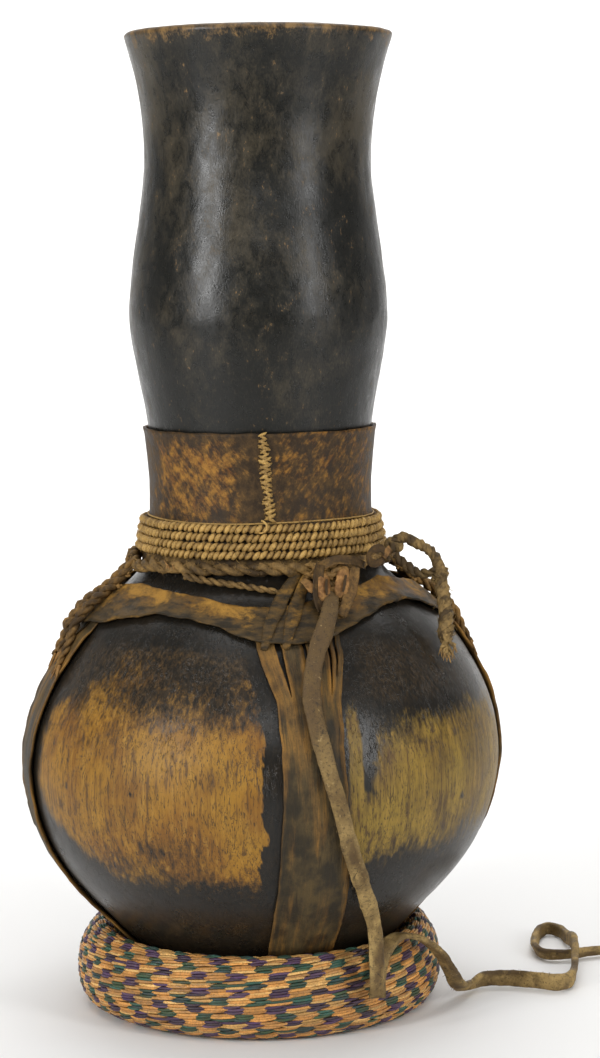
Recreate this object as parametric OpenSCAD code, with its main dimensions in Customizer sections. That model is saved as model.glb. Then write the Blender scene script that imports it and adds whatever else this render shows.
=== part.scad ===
// Lidded wooden vessel with a hide carrying harness, standing on a woven straw ring.
// Millimetres. +Z is up, the front of the vessel faces -Y, and the origin is at the
// centre of the base of the straw ring, on the surface that it stands on.

/* [Vessel] */
// Outer radius of the wooden globe at its widest
globe_r = 106.5; // [104:0.5:109]
// Thickness of the carved wooden wall
wall = 9; // [7:0.5:11]
// Outer radius of the wooden mouth, inside the hide collar
mouth_r = 47.9; // [47.2:0.1:48]
// Height of the underside of the globe above the table
base_gap = 7.5; // [6.5:0.5:8]

/* [Lid] */
// Radius of the flared rim on top of the lid
lid_rim_r = 59.2; // [56:0.2:62]
// Radius of the lid's waist
lid_waist_r = 50.3; // [48:0.1:52]
// Radius of the lid's swelling above the collar
lid_bulge_r = 57.4; // [55:0.2:60]
// Height of the lid's rim above the table
lid_top = 434; // [425:1:445]
// Rise of the lid's closed top above its rim
lid_dome = 2.8; // [1:0.2:5]
// Thickness of the lid's carved wall
lid_wall = 6; // [5:0.5:8]

/* [Collar] */
// Height of the collar's upper edge above the table
collar_top = 260.5; // [258:0.5:262]
// Thickness of the rawhide of the collar
collar_t = 1.8; // [1.4:0.1:2]
// Number of whip stitches down the collar's seam
seam_stitches = 13; // [9:1:15]
// Radius of the seam cord
seam_cord_r = 1.3; // [1:0.1:1.5]

/* [Fibre binding] */
// Radius of one row of the coiled fibre binding
row_r = 1.85; // [1.6:0.05:1.87]
// Height of the centre of the lowest row
row_z = 208.1; // [208:0.05:208.3]
// Distance from one row to the next
row_pitch = 3.75; // [3.74:0.01:3.8]

/* [Hide harness] */
// Width of each of the four hide straps
strap_w = 29; // [24:0.5:32]
// Thickness of the strap hide
strap_t = 2.2; // [1.6:0.1:2.6]
// Angle of the front strap, from straight ahead towards the right
strap_az = 12; // [5:0.5:15]
// Thickness of the hide band round the shoulder
ring_t = 3; // [2:0.1:3.4]
// Diameter of the lacing thongs
lace_d = 4.4; // [3.4:0.2:5]
// Radius of the twisted neck rope
neck_rope_r = 2.9; // [2.4:0.1:3]

/* [Carrying rope and thong] */
// Radius of the single strand of the hanging rope
rope_r = 2.4; // [2:0.1:2.6]
// Radius of the doubled part of the hanging rope
rope_r2 = 3.7; // [3:0.1:3.8]
// Radius of the long thong where it leaves its knot
thong_r1 = 3.3; // [2.6:0.1:3.4]
// Radius of the long thong at its free end
thong_r2 = 2.2; // [1.8:0.1:2.6]

/* [Ring stand] */
// Outer radius of the woven straw ring
stand_r = 82.7; // [80:0.5:84]
// Thickness of the woven cover of the ring
cover_t = 2.4; // [1.8:0.1:2.8]

/* [Hidden] */
$fn = 48;

// ---- curve helpers -------------------------------------------------------
// Catmull-Rom value between b and c
function cr(a, b, c, d, t) = 0.5 * (2 * b + (c - a) * t + (2 * a - 5 * b + 4 * c - d) * t * t
  + (3 * b - a - 3 * c + d) * t * t * t);
// smooth curve through points, n steps a span
function smooth(p, n) = concat([for (i = [0 : len(p) - 2], k = [0 : n - 1])
  cr(p[max(i - 1, 0)], p[i], p[i + 1], p[min(i + 2, len(p) - 1)], k / n)], [p[len(p) - 1]]);
// right-hand normal of a curve at point i (outwards on a profile drawn upwards)
function tan_at(p, i) = p[min(i + 1, len(p) - 1)] - p[max(i - 1, 0)];
function nrm_at(p, i) = let (t = tan_at(p, i)) [t[1], -t[0]] / norm(t);
// curve moved d outwards
function offs(p, d) = [for (i = [0 : len(p) - 1]) p[i] + d * nrm_at(p, i)];
function rev(p) = [for (i = [len(p) - 1 : -1 : 0]) p[i]];
// point of a revolved surface at azimuth a (0 is the front, 90 the right)
function polar(r, a, z) = [r * sin(a), -r * cos(a), z];
// strip between two offsets of a profile, for revolving
function band(p, d0, d1) = concat(offs(p, d0), rev(offs(p, d1)));

// ---- profiles ------------------------------------------------------------
kg = globe_r / 106.5;
bz = base_gap;
// outside of the wooden vessel, from the middle of the base up to the mouth
wood = smooth([[0, bz], [12, bz + 0.2], [24, bz + 2.4], [36 * kg, 15.2], [46 * kg, 20.5], [55 * kg, 27], [64 * kg, 35],
  [73.4 * kg, 45], [82 * kg, 54], [91 * kg, 65], [98.5 * kg, 77.5], [104 * kg, 93], [106.5 * kg, 110],
  [104.8 * kg, 127], [99.6 * kg, 143], [91 * kg, 159], [80.5 * kg, 174], [70.5 * kg, 183.7], [61.5 * kg, 190],
  [54.6, 197], [51.2, 205], [mouth_r + 1.9, 214], [mouth_r, 222]], 3);
// inside of the vessel
hollow_r = globe_r - wall;
hollow = smooth([[0, 18], [24, 19.5], [44, 29], [62, 44.5], [80, 65], [hollow_r - 3.6, 88], [hollow_r, 110],
  [hollow_r - 3.4, 130], [hollow_r - 13, 150], [70, 169], [54, 181], [44.5, 189], [41.6, 198], [40, 210], [39.5, 222]], 3);
// outside of the lid, from its lower rim up to the flared rim
lid_out = smooth([[44.2, 222.4], [45.4, 230], [46.6, 237], [48.4, 248], [49.85, 260], [51.4, 270],
  [54.4, 286], [lid_bulge_r - 0.5, 302], [lid_bulge_r, 314], [55.9, 332], [53, 352], [50.9, 368],
  [lid_waist_r, 380], [51.1, 396], [53.3, 411], [56.6, 424], [lid_rim_r - 0.3, lid_top - 2.6]], 3);
// inside of the lid
lid_in = smooth([[38.4, 222.4], [41.5, 246], [46, 270], [lid_bulge_r - lid_wall - 1, 306],
  [50.4 - lid_wall + 5.4, 340], [lid_waist_r - lid_wall, 378], [lid_waist_r - lid_wall, 400],
  [42, 415], [34, 421.5], [0, 423]], 3);
// middle line of the collar's inner face
collar_in = smooth([[51.15, 206.2], [50.7, 209.5], [50, 213.5], [48.95, 218], [48.1, 223], [48.0, 230], [48.05, 237],
  [48.95, 248], [50.2, collar_top]], 3);
// outer outline of the straw ring, from its foot outwards and up
ring_seat = offs([for (q = wood) if (q[0] > 46.5 && q[1] < 38) q], 0.1 + strap_t + 0.35);
stand_out = concat([[52, 0]], smooth([[70.5, 0], [75.4, 0.9], [79.2, 3.8], [stand_r - 0.8, 9], [stand_r, 17], [stand_r - 1.5, 26],
  [77.6, 32.6], [74.4, 35.8], [70.8, 36.4]], 3));
stand_poly = concat(stand_out, rev(ring_seat), smooth([[45.6, 15], [44.6, 10], [45.6, 4.6], [48.6, 1.1]], 3));

// ---- parts ---------------------------------------------------------------
module vessel_body() {
  color([0.14, 0.11, 0.08])
    rotate_extrude($fn = 96) polygon(concat(wood, rev(hollow)));
}

module lid_cup() {
  color([0.17, 0.15, 0.13])
    rotate_extrude($fn = 96) polygon(concat(lid_out,
      [[lid_rim_r, lid_top - 1.4], [lid_rim_r - 0.7, lid_top - 0.4], [lid_rim_r - 1.9, lid_top]],
      smooth([[lid_rim_r - 4, lid_top + 0.3], [lid_rim_r * 0.72, lid_top + lid_dome * 0.55], [lid_rim_r * 0.4, lid_top + lid_dome * 0.86], [0, lid_top + lid_dome]], 3),
      rev(lid_in)));
}

module neck_collar() {
  color([0.33, 0.20, 0.10])
    rotate_extrude($fn = 96) polygon(band(collar_in, 0, collar_t));
}

// short cord tangent to the collar
module stitch(r, z, a, w) {
  rotate([0, 0, a - 90 - w / 2]) rotate_extrude(angle = w) translate([r, z]) circle(seam_cord_r, $fn = 16);
}

module collar_seam_stitches() {
  color([0.55, 0.38, 0.19])
    for (i = [0 : seam_stitches - 1])
      let (z = 225.5 + i * (collar_top - 228.5) / (seam_stitches - 1))
        stitch(lookup(z, [[223, 49.95], [230, 49.85], [237, 49.9], [248, 50.8], [262, 52.1]]) + seam_cord_r + 0.15, z, 5.6 - i * 0.32, 5.6);
}

// one row of the coiled binding, i counted from the top
module binding_row(i) {
  z = row_z + (3 - i) * row_pitch;
  r = lookup(z, [[206, 52.95], [209.5, 52.5], [213.5, 51.8], [218, 50.75], [223, 49.9]]) + row_r + 0.2;
  color([0.60, 0.43, 0.20]) rotate_extrude($fn = 96) translate([r, z]) circle(row_r, $fn = 24);
}

module neck_rope() {
  color([0.42, 0.28, 0.14])
    rotate_extrude($fn = 96) translate([57.6, 200.6]) circle(neck_rope_r, $fn = 24);
}

module shoulder_ring() {
  p = [for (q = wood) if (q[1] > 173.5 && q[1] < 187) q];
  color([0.50, 0.34, 0.14]) rotate_extrude($fn = 96) polygon(band(p, 0.15, ring_t));
}

// meridian shell that the straps are cut from
module hide_shell() {
  p = [for (q = wood) if (q[0] > 24.5 && q[1] < 171) q];
  rotate_extrude($fn = 96) polygon(band(p, 0.1, 0.1 + strap_t));
}

module strap(a) {
  color([0.28, 0.20, 0.13]) rotate([0, 0, a]) difference() {
    intersection() {
      hide_shell();
      translate([-strap_w / 2, -130, 0]) cube([strap_w, 112, 200]);
    }
    for (x = [-7.5, 0.5, 8]) translate([x - 0.9, -120, 150 + x * 0.3]) cube([1.8, 60, 14]);
  }
}

// round hide patch under the base, where the four straps meet
module base_patch() {
  n = len([for (q = wood) if (q[0] < 23.2) q]);
  up = concat([[0, bz - 0.1]], [for (i = [1 : n - 1]) wood[i] + 0.1 * nrm_at(wood, i)]);
  lo = concat([for (i = [n - 1 : -1 : 1]) wood[i] + 2.2 * nrm_at(wood, i)], [[0, bz - 2.2]]);
  color([0.28, 0.20, 0.13]) rotate_extrude($fn = 64) polygon(concat(up, lo));
}

// one thong of a lacing, from a strap over the shoulder band to the neck rope
module lace(a) {
  d = 0.15 + ring_t + lace_d / 2 + 0.25;
  q = [for (z = [162, 171, 179.5, 188]) let (i = len([for (w = wood) if (w[1] < z) 1]))
    wood[i] + (z < 165 ? 0.1 + strap_t + 0.6 : d) * nrm_at(wood, i)];
  p = concat(q, [[60.9, 198.8]]);
  tube([for (v = smooth(p, 2)) polar(v[0], a, v[1])], lace_d / 2, lace_d / 2, 10);
}

module lacing(a, at) {
  color([0.40, 0.26, 0.13]) for (k = at) lace(a + k);
}

// knot that gathers the front thongs: crossing turns of hide
module thong_knot() {
  color([0.45, 0.29, 0.15]) translate(polar(67.5, 28, 190.5)) rotate([0, 0, 28]) {
    rotate([48, 0, 0]) rotate_extrude() translate([5.2, 0]) circle(2.6, $fn = 20);
    rotate([48, 40, 0]) translate([0, 0, 1.2]) rotate_extrude() translate([4.2, 0]) circle(2.6, $fn = 20);
  }
}

// frame of a curve: tangent, and two directions across it
function t3(p, i) = let (t = p[min(i + 1, len(p) - 1)] - p[max(i - 1, 0)]) t / norm(t);
function side(t) = let (u = abs(t[2]) > 0.9 ? [0, 1, 0] : [0, 0, 1], s = cross(t, u)) s / norm(s);
// carry the side vector along so that the tube doesn't twist
function carry(p, i, s) = let (t = t3(p, i), v = s - t * (s * t)) v / norm(v);
function sides(p) = [for (i = 0, s = side(t3(p, 0)); i < len(p); i = i + 1, s = i < len(p) ? carry(p, i, s) : s) s];
// closed tube along p, radius ra at the start and rb at the end, m sides
module tube(p, ra, rb, m) {
  s = sides(p);
  n = len(p);
  pts = [for (i = [0 : n - 1], k = [0 : m - 1]) let (u = s[i], w = cross(t3(p, i), s[i]),
    r = ra + (rb - ra) * i / (n - 1)) p[i] + r * (cos(360 * k / m) * u + sin(360 * k / m) * w)];
  polyhedron(pts, concat([[for (k = [0 : m - 1]) k]], [[for (k = [m - 1 : -1 : 0]) (n - 1) * m + k]],
    [for (i = [0 : n - 2], k = [0 : m - 1]) [i * m + k, (i + 1) * m + k, (i + 1) * m + (k + 1) % m, i * m + (k + 1) % m]]));
}

// route of the hanging rope: out of its knot, over and down beside the shoulder
LOOP_TOP = [[60, -24, 209], [66, -25, 210.5], [72, -26.5, 208.5], [77, -28, 203], [80.5, -30, 196]];
LOOP_LOW = [[62, -27, 199.5], [68, -28, 196.5], [74, -29, 193.5], [79, -30.5, 191.5]];
LOOP_END = [[80.5, -30, 197], [82.5, -31.5, 189], [84.5, -35, 181], [85, -40, 173], [85, -45.5, 165]];

module carrying_loop() {
  color([0.36, 0.24, 0.13]) {
    translate([59, -24, 208.5]) sphere(4, $fn = 12);
    tube(smooth(LOOP_TOP, 2), rope_r, rope_r, 8);
    tube(smooth(LOOP_LOW, 2), rope_r - 0.2, rope_r, 8);
    tube(smooth(LOOP_END, 2), rope_r2 - 0.5, rope_r2, 8);
  }
}

// frayed end of the hanging rope
module loop_tail() {
  color([0.46, 0.33, 0.18]) {
    tube([[85, -45.8, 164.6], [84, -48.2, 161], [82.4, -50, 157]], 2.2, 1.7, 8);
    tube([[85, -45.8, 164.6], [85.6, -48.6, 160], [85.5, -50.6, 154.5]], 2.2, 1.7, 8);
    tube([[85, -45.8, 164.6], [86.8, -47.6, 161], [87.8, -48.6, 156.5]], 2, 1.6, 8);
  }
}

// route of the long thong: from the knot down the front of the vessel, over the
// ring, a fold, and away over the table with one small loop
THONG = [[31, -64, 194], [31, -67, 191.5], [30, -73.5, 186.5], [27.5, -82, 179], [24.5, -88, 172],
  [22.5, -94, 163], [22, -99.5, 153], [24, -104, 142], [27, -106.5, 131], [30, -108, 120], [33, -107.5, 110],
  [35.5, -105.5, 99], [38, -102, 88.5], [41, -97, 78], [44, -89.5, 67], [46.5, -82.5, 57.5], [48, -78.5, 49],
  [48.5, -77.5, 40], [48.7, -78, 31], [48.7, -78, 24], [49, -75, 19.5], [49.5, -71.2, 23],
  [50.5, -67, 30], [53, -61.5, 36.5], [58, -54.5, 39.8], [64, -49, 38.8], [71, -43.5, 34.8],
  [78, -37, 27], [83, -29, 17], [87, -19, 8], [92, -7, 3.8], [100, 3, 3.5], [112, 4, 3.5], [124, 0, 3.5],
  [133, -4, 3.5], [139, 0, 3.5], [142, 10, 3.5], [144, 24, 4.6], [145.5, 38, 7.4], [146, 50, 8.6], [146, 62, 7],
  [145.5, 76, 4], [143.5, 90, 3.2], [138, 96, 3.1], [133, 88, 3.1], [130, 74, 3.1], [129, 60, 3.1],
  [131.5, 50, 3], [138, 47.5, 3], [146, 49, 3], [154, 53, 2.9], [164, 56, 2.8], [175, 59, 2.7], [185, 66, 2.6],
  [190, 77, 2.5], [191, 88, 2.4]];

module carrying_thong() {
  color([0.38, 0.28, 0.17]) tube(THONG, thong_r1, thong_r2, 8);
}

// inward copy of the ring's outline, for the hollow of its cover
function closed_nrm(p, i) = let (n = len(p), t = p[(i + 1) % n] - p[(i + n - 1) % n]) [t[1], -t[0]] / norm(t);
function inset(p, d) = [for (i = [0 : len(p) - 1]) p[i] - d * closed_nrm(p, i)];

module stand_section(d) { polygon(inset(stand_poly, d)); }

module stand_cover() {
  color([0.78, 0.58, 0.30]) rotate_extrude($fn = 96) difference() {
    stand_section(0);
    stand_section(cover_t);
    translate([42, 7.6]) square([7, 4.2]);
  }
}

module stand_core() {
  color([0.72, 0.60, 0.36]) rotate_extrude($fn = 96) stand_section(cover_t + 0.15);
}

module stand_seam() {
  color([0.62, 0.44, 0.20]) rotate_extrude($fn = 96) translate([45.6, 9.7]) circle(1.1, $fn = 20);
}

vessel_body();
lid_cup();
neck_collar();
collar_seam_stitches();
binding_row(0);  // binding_row_1
binding_row(1);  // binding_row_2
binding_row(2);  // binding_row_3
binding_row(3);  // binding_row_4
neck_rope();
shoulder_ring();
strap(strap_az);  // strap_front
strap(strap_az + 90);  // strap_right
strap(strap_az + 180);  // strap_back
strap(strap_az + 270);  // strap_left
base_patch();
lacing(strap_az, [-9, -3.5]);  // lacing_front
lacing(strap_az + 90, [-5, 0, 5]);  // lacing_right
lacing(strap_az + 180, [-5, 0, 5]);  // lacing_back
lacing(strap_az + 270, [-5, 0, 5]);  // lacing_left
thong_knot();
carrying_loop();
loop_tail();
carrying_thong();
stand_cover();
stand_core();
stand_seam();
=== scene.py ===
import math
import bpy
import numpy as np
from mathutils import Vector, Matrix


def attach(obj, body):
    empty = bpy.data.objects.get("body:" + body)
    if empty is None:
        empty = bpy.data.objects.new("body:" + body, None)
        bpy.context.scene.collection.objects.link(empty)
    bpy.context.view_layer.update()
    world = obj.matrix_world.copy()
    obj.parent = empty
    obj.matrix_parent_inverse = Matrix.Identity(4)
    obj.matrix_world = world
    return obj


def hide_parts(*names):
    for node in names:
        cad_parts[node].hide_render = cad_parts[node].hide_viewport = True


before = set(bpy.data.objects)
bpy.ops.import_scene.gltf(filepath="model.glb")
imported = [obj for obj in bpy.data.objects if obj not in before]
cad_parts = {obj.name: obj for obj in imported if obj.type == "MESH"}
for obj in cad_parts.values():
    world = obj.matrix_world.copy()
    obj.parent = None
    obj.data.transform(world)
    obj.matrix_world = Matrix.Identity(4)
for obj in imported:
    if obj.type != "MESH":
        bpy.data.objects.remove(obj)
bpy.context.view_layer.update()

MM = 0.001

# ---------------------------------------------------------------------------
# camera
# ---------------------------------------------------------------------------
cam_data = bpy.data.cameras.new("camera")
cam = bpy.data.objects.new("camera", cam_data)
bpy.context.scene.collection.objects.link(cam)
cam_data.sensor_fit = "AUTO"
cam_data.sensor_width = 36.0
cam_data.lens = 36.0 * 2700.0 / 1058.0
cam_data.clip_start = 0.05
cam_data.clip_end = 30.0
PITCH = math.atan(299.0 / 2700.0)
cam.matrix_world = (Matrix.Translation((0.017775, -1.207618, 0.347234))
                    @ Matrix.Rotation(math.pi / 2 - PITCH, 4, "X")
                    @ Matrix.Rotation(math.radians(-0.6), 4, "Z"))
bpy.context.scene.camera = cam

# ---------------------------------------------------------------------------
# noise and mesh helpers
# ---------------------------------------------------------------------------
def _h(ix, iy, seed):
    h = (ix.astype(np.int64) * 374761393 + iy.astype(np.int64) * 668265263 + seed * 974711) & 0xFFFFFFFF
    h = ((h ^ (h >> 13)) * 1274126177) & 0xFFFFFFFF
    h = ((h ^ (h >> 16)) * 2246822519) & 0xFFFFFFFF
    return ((h ^ (h >> 15)) & 0xFFFFFF) / 16777215.0


def vnoise(x, y, seed=0, px=None):
    x = np.asarray(x, float); y = np.asarray(y, float)
    x, y = np.broadcast_arrays(x, y)
    x0 = np.floor(x); y0 = np.floor(y)
    fx = x - x0; fy = y - y0
    fx = fx * fx * (3 - 2 * fx); fy = fy * fy * (3 - 2 * fy)
    def lat(a, b):
        if px:
            a = np.mod(a, px)
        return _h(a, b, seed)
    a = lat(x0, y0); b = lat(x0 + 1, y0); c = lat(x0, y0 + 1); d = lat(x0 + 1, y0 + 1)
    return (a * (1 - fx) + b * fx) * (1 - fy) + (c * (1 - fx) + d * fx) * fy


def fbm(x, y, octaves=4, seed=0, px=None, gain=0.5):
    x = np.asarray(x, float); y = np.asarray(y, float)
    s = 0.0; a = 1.0; t = 0.0
    for o in range(octaves):
        s = s + a * vnoise(x * 2 ** o, y * 2 ** o, seed + 17 * o, px * 2 ** o if px else None)
        t += a; a *= gain
    return s / t


def sstep(a, b, x):
    t = np.clip((np.asarray(x, float) - a) / (b - a), 0, 1)
    return t * t * (3 - 2 * t)


def window(x, a0, a1, b0, b1):
    """0 before a0, 1 from a1 to b0, 0 after b1"""
    return sstep(a0, a1, x) * (1 - sstep(b0, b1, x))


def catmull(p, n):
    p = np.asarray(p, float)
    out = []
    m = len(p)
    for i in range(m - 1):
        a = p[max(i - 1, 0)]; b = p[i]; c = p[i + 1]; d = p[min(i + 2, m - 1)]
        for k in range(n):
            t = k / n
            out.append(0.5 * (2 * b + (c - a) * t + (2 * a - 5 * b + 4 * c - d) * t * t + (3 * b - a - 3 * c + d) * t ** 3))
    out.append(p[-1])
    return np.array(out)


def resample(p, step=None, count=None, closed=False):
    p = np.asarray(p, float)
    if closed:
        p = np.vstack([p, p[:1]])
    d = np.r_[0, np.cumsum(np.linalg.norm(np.diff(p, axis=0), axis=1))]
    if count is None:
        count = max(2, int(round(d[-1] / step)) + 1)
    s = np.linspace(0, d[-1], count)
    out = np.stack([np.interp(s, d, p[:, k]) for k in range(p.shape[1])], 1)
    return out[:-1] if closed else out


def polyline_length(p):
    return float(np.linalg.norm(np.diff(p, axis=0), axis=1).sum())


class Mesh:
    """Collects vertices, faces and one colour a vertex, and becomes one object."""

    def __init__(self):
        self.v = []; self.f = []; self.c = []; self.n = 0

    def add(self, v, faces, c=None):
        v = np.asarray(v, float).reshape(-1, 3)
        self.v.append(v)
        self.f.append([np.asarray(f, np.int64) + self.n for f in faces if len(f)])
        if c is None:
            c = np.tile([0.0, 0.0, 0.0, 1.0], (len(v), 1))
        c = np.asarray(c, float)
        if c.ndim == 1:
            c = np.tile(c, (len(v), 1))
        if c.shape[1] == 3:
            c = np.hstack([c, np.ones((len(c), 1))])
        self.c.append(c)
        self.n += len(v)

    def build(self, name, mat, body, replaces=(), warp=None, smooth=True):
        v = np.vstack(self.v)
        if warp is not None:
            v = warp(v)
        c = np.vstack(self.c)
        loops = []; starts = []; totals = []; pos = 0
        for group in self.f:
            for f in group:
                k = f.shape[1]
                loops.append(f.reshape(-1))
                starts.append(pos + np.arange(len(f)) * k)
                totals.append(np.full(len(f), k))
                pos += len(f) * k
        loops = np.concatenate(loops); starts = np.concatenate(starts); totals = np.concatenate(totals)
        me = bpy.data.meshes.new(name)
        me.vertices.add(len(v)); me.vertices.foreach_set("co", v.astype(np.float32).ravel())
        me.loops.add(len(loops)); me.loops.foreach_set("vertex_index", loops.astype(np.int32))
        me.polygons.add(len(starts)); me.polygons.foreach_set("loop_start", starts.astype(np.int32))
        me.polygons.foreach_set("loop_total", totals.astype(np.int32))
        me.update(calc_edges=True)
        me.validate()
        me.polygons.foreach_set("use_smooth", np.full(len(me.polygons), smooth))
        at = me.color_attributes.new("paint", "FLOAT_COLOR", "POINT")
        at.data.foreach_set("color", c.astype(np.float32).ravel())
        me.materials.append(mat)
        ob = bpy.data.objects.new(name, me)
        bpy.context.scene.collection.objects.link(ob)
        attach(ob, body)
        if replaces:
            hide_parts(*replaces)
        return ob


def grid_faces(nu, nv, wrap_u=False, wrap_v=False, flip=False):
    """quads for a grid of nu by nv vertices, vertex index = i * nv + j"""
    I = np.arange(nu if wrap_u else nu - 1); J = np.arange(nv if wrap_v else nv - 1)
    i, j = np.meshgrid(I, J, indexing="ij")
    i2 = (i + 1) % nu; j2 = (j + 1) % nv
    f = np.stack([i * nv + j, i2 * nv + j, i2 * nv + j2, i * nv + j2], -1).reshape(-1, 4)
    return f[:, ::-1] if flip else f


def frames(p, closed=False, up=None):
    """tangents and two cross directions along p, without twist"""
    n = len(p)
    if closed:
        t = np.roll(p, -1, 0) - np.roll(p, 1, 0)
    else:
        t = np.gradient(p, axis=0)
    t /= np.linalg.norm(t, axis=1)[:, None]
    if up is None:
        up = np.array([0, 0, 1.0]) if abs(t[0][2]) < 0.9 else np.array([0, 1.0, 0])
    u = np.asarray(up, float)
    U = np.zeros_like(p)
    for i in range(n):
        u = u - t[i] * np.dot(u, t[i])
        u /= np.linalg.norm(u)
        U[i] = u
    if closed:
        # spread the closing error along the curve
        w0 = np.cross(t[0], U[0])
        last = U[-1] - t[0] * np.dot(U[-1], t[0]); last /= np.linalg.norm(last)
        err = math.atan2(np.dot(last, w0), np.dot(last, U[0]))
        for i in range(n):
            a = -err * i / n
            w = np.cross(t[i], U[i])
            U[i] = math.cos(a) * U[i] + math.sin(a) * w
    W = np.cross(t, U)
    return t, U, W


def sweep(mesh, p, r, sides=8, col=None, closed=False, flat=1.0, cap=True, frame_=None, rough=0.0, seed=0, phase=0.0):
    """round (or flattened) tube along p; r is one radius or one a point"""
    p = np.asarray(p, float)
    n = len(p)
    r = np.full(n, float(r)) if np.isscalar(r) else np.asarray(r, float)
    t, U, W = frame_ if frame_ is not None else frames(p, closed)
    a = np.linspace(0, 2 * np.pi, sides, endpoint=False) + phase
    rr = r[:, None] * np.ones(sides)[None, :]
    if rough:
        k = np.arange(n)[:, None] * 0.8 + np.zeros(sides)[None, :]
        rr = rr * (1 + rough * (2 * vnoise(k, np.cos(a)[None, :] * 1.5 + np.sin(a)[None, :] * 0.7 + 10, seed) - 1))
    v = (p[:, None, :] + (rr * np.cos(a))[:, :, None] * U[:, None, :] * 1.0
         + (rr * flat * np.sin(a))[:, :, None] * W[:, None, :])
    faces = [grid_faces(n, sides, wrap_u=closed, wrap_v=True, flip=True)]
    v = v.reshape(-1, 3)
    c = None
    if col is not None:
        col = np.asarray(col, float)
        c = np.repeat(col, sides, 0) if col.ndim == 2 else col
        if c.ndim == 1:
            c = np.tile(c, (len(v), 1))
    if cap and not closed:
        m = len(v)
        e0 = p[0] - t[0] * r[0] * 0.45; e1 = p[-1] + t[-1] * r[-1] * 0.45
        v = np.vstack([v, e0, e1])
        k = np.arange(sides); k2 = (k + 1) % sides
        faces.append(np.stack([np.full(sides, m), k, k2], 1)[:, ::-1] * 1)
        faces.append(np.stack([np.full(sides, m + 1), (n - 1) * sides + k2, (n - 1) * sides + k], 1)[:, ::-1])
        if c is not None:
            c = np.vstack([c, c[:1], c[-1:]])
    mesh.add(v, faces, c)


def lathe(mesh, prof, seg, disp=None, col=None, closed=False, a0=0.0):
    """revolves prof (r, z) in metres; disp(az, i) adds to r and z; col(az, r, z) gives colours. az in degrees, 0 front, 90 right"""
    prof = np.asarray(prof, float)
    az = np.arange(seg) * 360.0 / seg + a0
    n = len(prof)
    R = np.repeat(prof[:, 0][:, None], seg, 1); Z = np.repeat(prof[:, 1][:, None], seg, 1)
    A = np.repeat(az[None, :], n, 0)
    if disp is not None:
        R, Z = disp(A, R, Z)
    ar = np.radians(A)
    v = np.stack([R * np.sin(ar), -R * np.cos(ar), Z], -1).reshape(-1, 3)
    f = grid_faces(n, seg, wrap_u=closed, wrap_v=True, flip=True)
    c = col(A, R, Z).reshape(-1, 4) if col is not None else None
    faces = [f]
    poles = []
    if not closed:
        for end, row in ((0, 0), (1, n - 1)):
            if prof[row, 0] < 1e-6:
                poles.append((end, row))
    if poles:
        # collapse a pole's ring to one vertex
        keep = np.arange(len(v))
        drop = np.zeros(len(v), bool)
        for end, row in poles:
            first = row * seg
            keep[first:first + seg] = first
            drop[first + 1:first + seg] = True
        f = keep[f]
        bad = np.array([len(set(q)) < 4 for q in f[np.r_[0:seg, len(f) - seg:len(f)]]])
        idx = np.r_[0:seg, len(f) - seg:len(f)]
        tri = []
        for q in f[idx[bad]]:
            s = []
            for x in q:
                if x not in s:
                    s.append(x)
            tri.append(s)
        mask = np.ones(len(f), bool); mask[idx[bad]] = False
        new = np.cumsum(~drop) - 1
        v = v[~drop]
        if c is not None:
            c = c[~drop]
        faces = [new[f[mask]], new[np.array(tri)]]
    mesh.add(v, faces, c)


# ---------------------------------------------------------------------------
# shapes shared by several pieces (millimetres, as in the CAD part)
# ---------------------------------------------------------------------------
WOOD = catmull([[0, 7.5], [12, 7.7], [24, 9.9], [36, 15.2], [46, 20.5], [55, 27], [64, 35],
                [73.4, 45], [82, 54], [91, 65], [98.5, 77.5], [104, 93], [106.5, 110],
                [104.8, 127], [99.6, 143], [91, 159], [80.5, 174], [70.5, 183.7], [61.5, 190],
                [54.6, 197], [51.2, 205], [49.8, 214], [47.9, 222]], 12)
HOLLOW = catmull([[0, 18], [24, 19.5], [44, 29], [62, 44.5], [80, 65], [93.9, 88], [97.5, 110],
                  [94.1, 130], [84.5, 150], [70, 169], [54, 181], [44.5, 189], [41.6, 198], [40, 210], [39.5, 222]], 3)


def normals2(p):
    t = np.gradient(p, axis=0)
    t /= np.linalg.norm(t, axis=1)[:, None]
    return np.stack([t[:, 1], -t[:, 0]], 1)


WOOD_N = normals2(WOOD)
WOOD_S = np.r_[0, np.cumsum(np.linalg.norm(np.diff(WOOD, axis=0), axis=1))]


def wood_r(z):
    return np.interp(z, WOOD[3:, 1], WOOD[3:, 0])


def surf(az, z, off=0.0):
    """point on the vessel's outside at azimuth az (degrees) and height z, moved off outwards (mm in, metres out)"""
    az = np.radians(np.asarray(az, float)); z = np.asarray(z, float)
    r = np.interp(z, WOOD[3:, 1], WOOD[3:, 0])
    nr = np.interp(z, WOOD[3:, 1], WOOD_N[3:, 0]); nz = np.interp(z, WOOD[3:, 1], WOOD_N[3:, 1])
    l = np.hypot(nr, nz)
    r = r + nr / l * off; z = z + nz / l * off
    return np.stack([r * np.sin(az), -r * np.cos(az), z], -1) * MM


def polar(r, az, z):
    az = np.radians(np.asarray(az, float))
    r, az, z = np.broadcast_arrays(np.asarray(r, float), az, np.asarray(z, float))
    return np.stack([r * np.sin(az), -r * np.cos(az), z], -1) * MM


def warp_vessel(v):
    """small lean of the hand-carved globe, shared by everything fixed to it"""
    v = v.copy()
    v[:, 0] += np.interp(v[:, 2] * 1000, [0, 12, 30, 45, 75, 112, 140, 160, 180, 200, 240],
                         [0, -0.3, -1.1, -1.4, -0.8, 0, 0.9, 1.4, 1.0, 0.2, 0.2]) * MM
    return v


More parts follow.
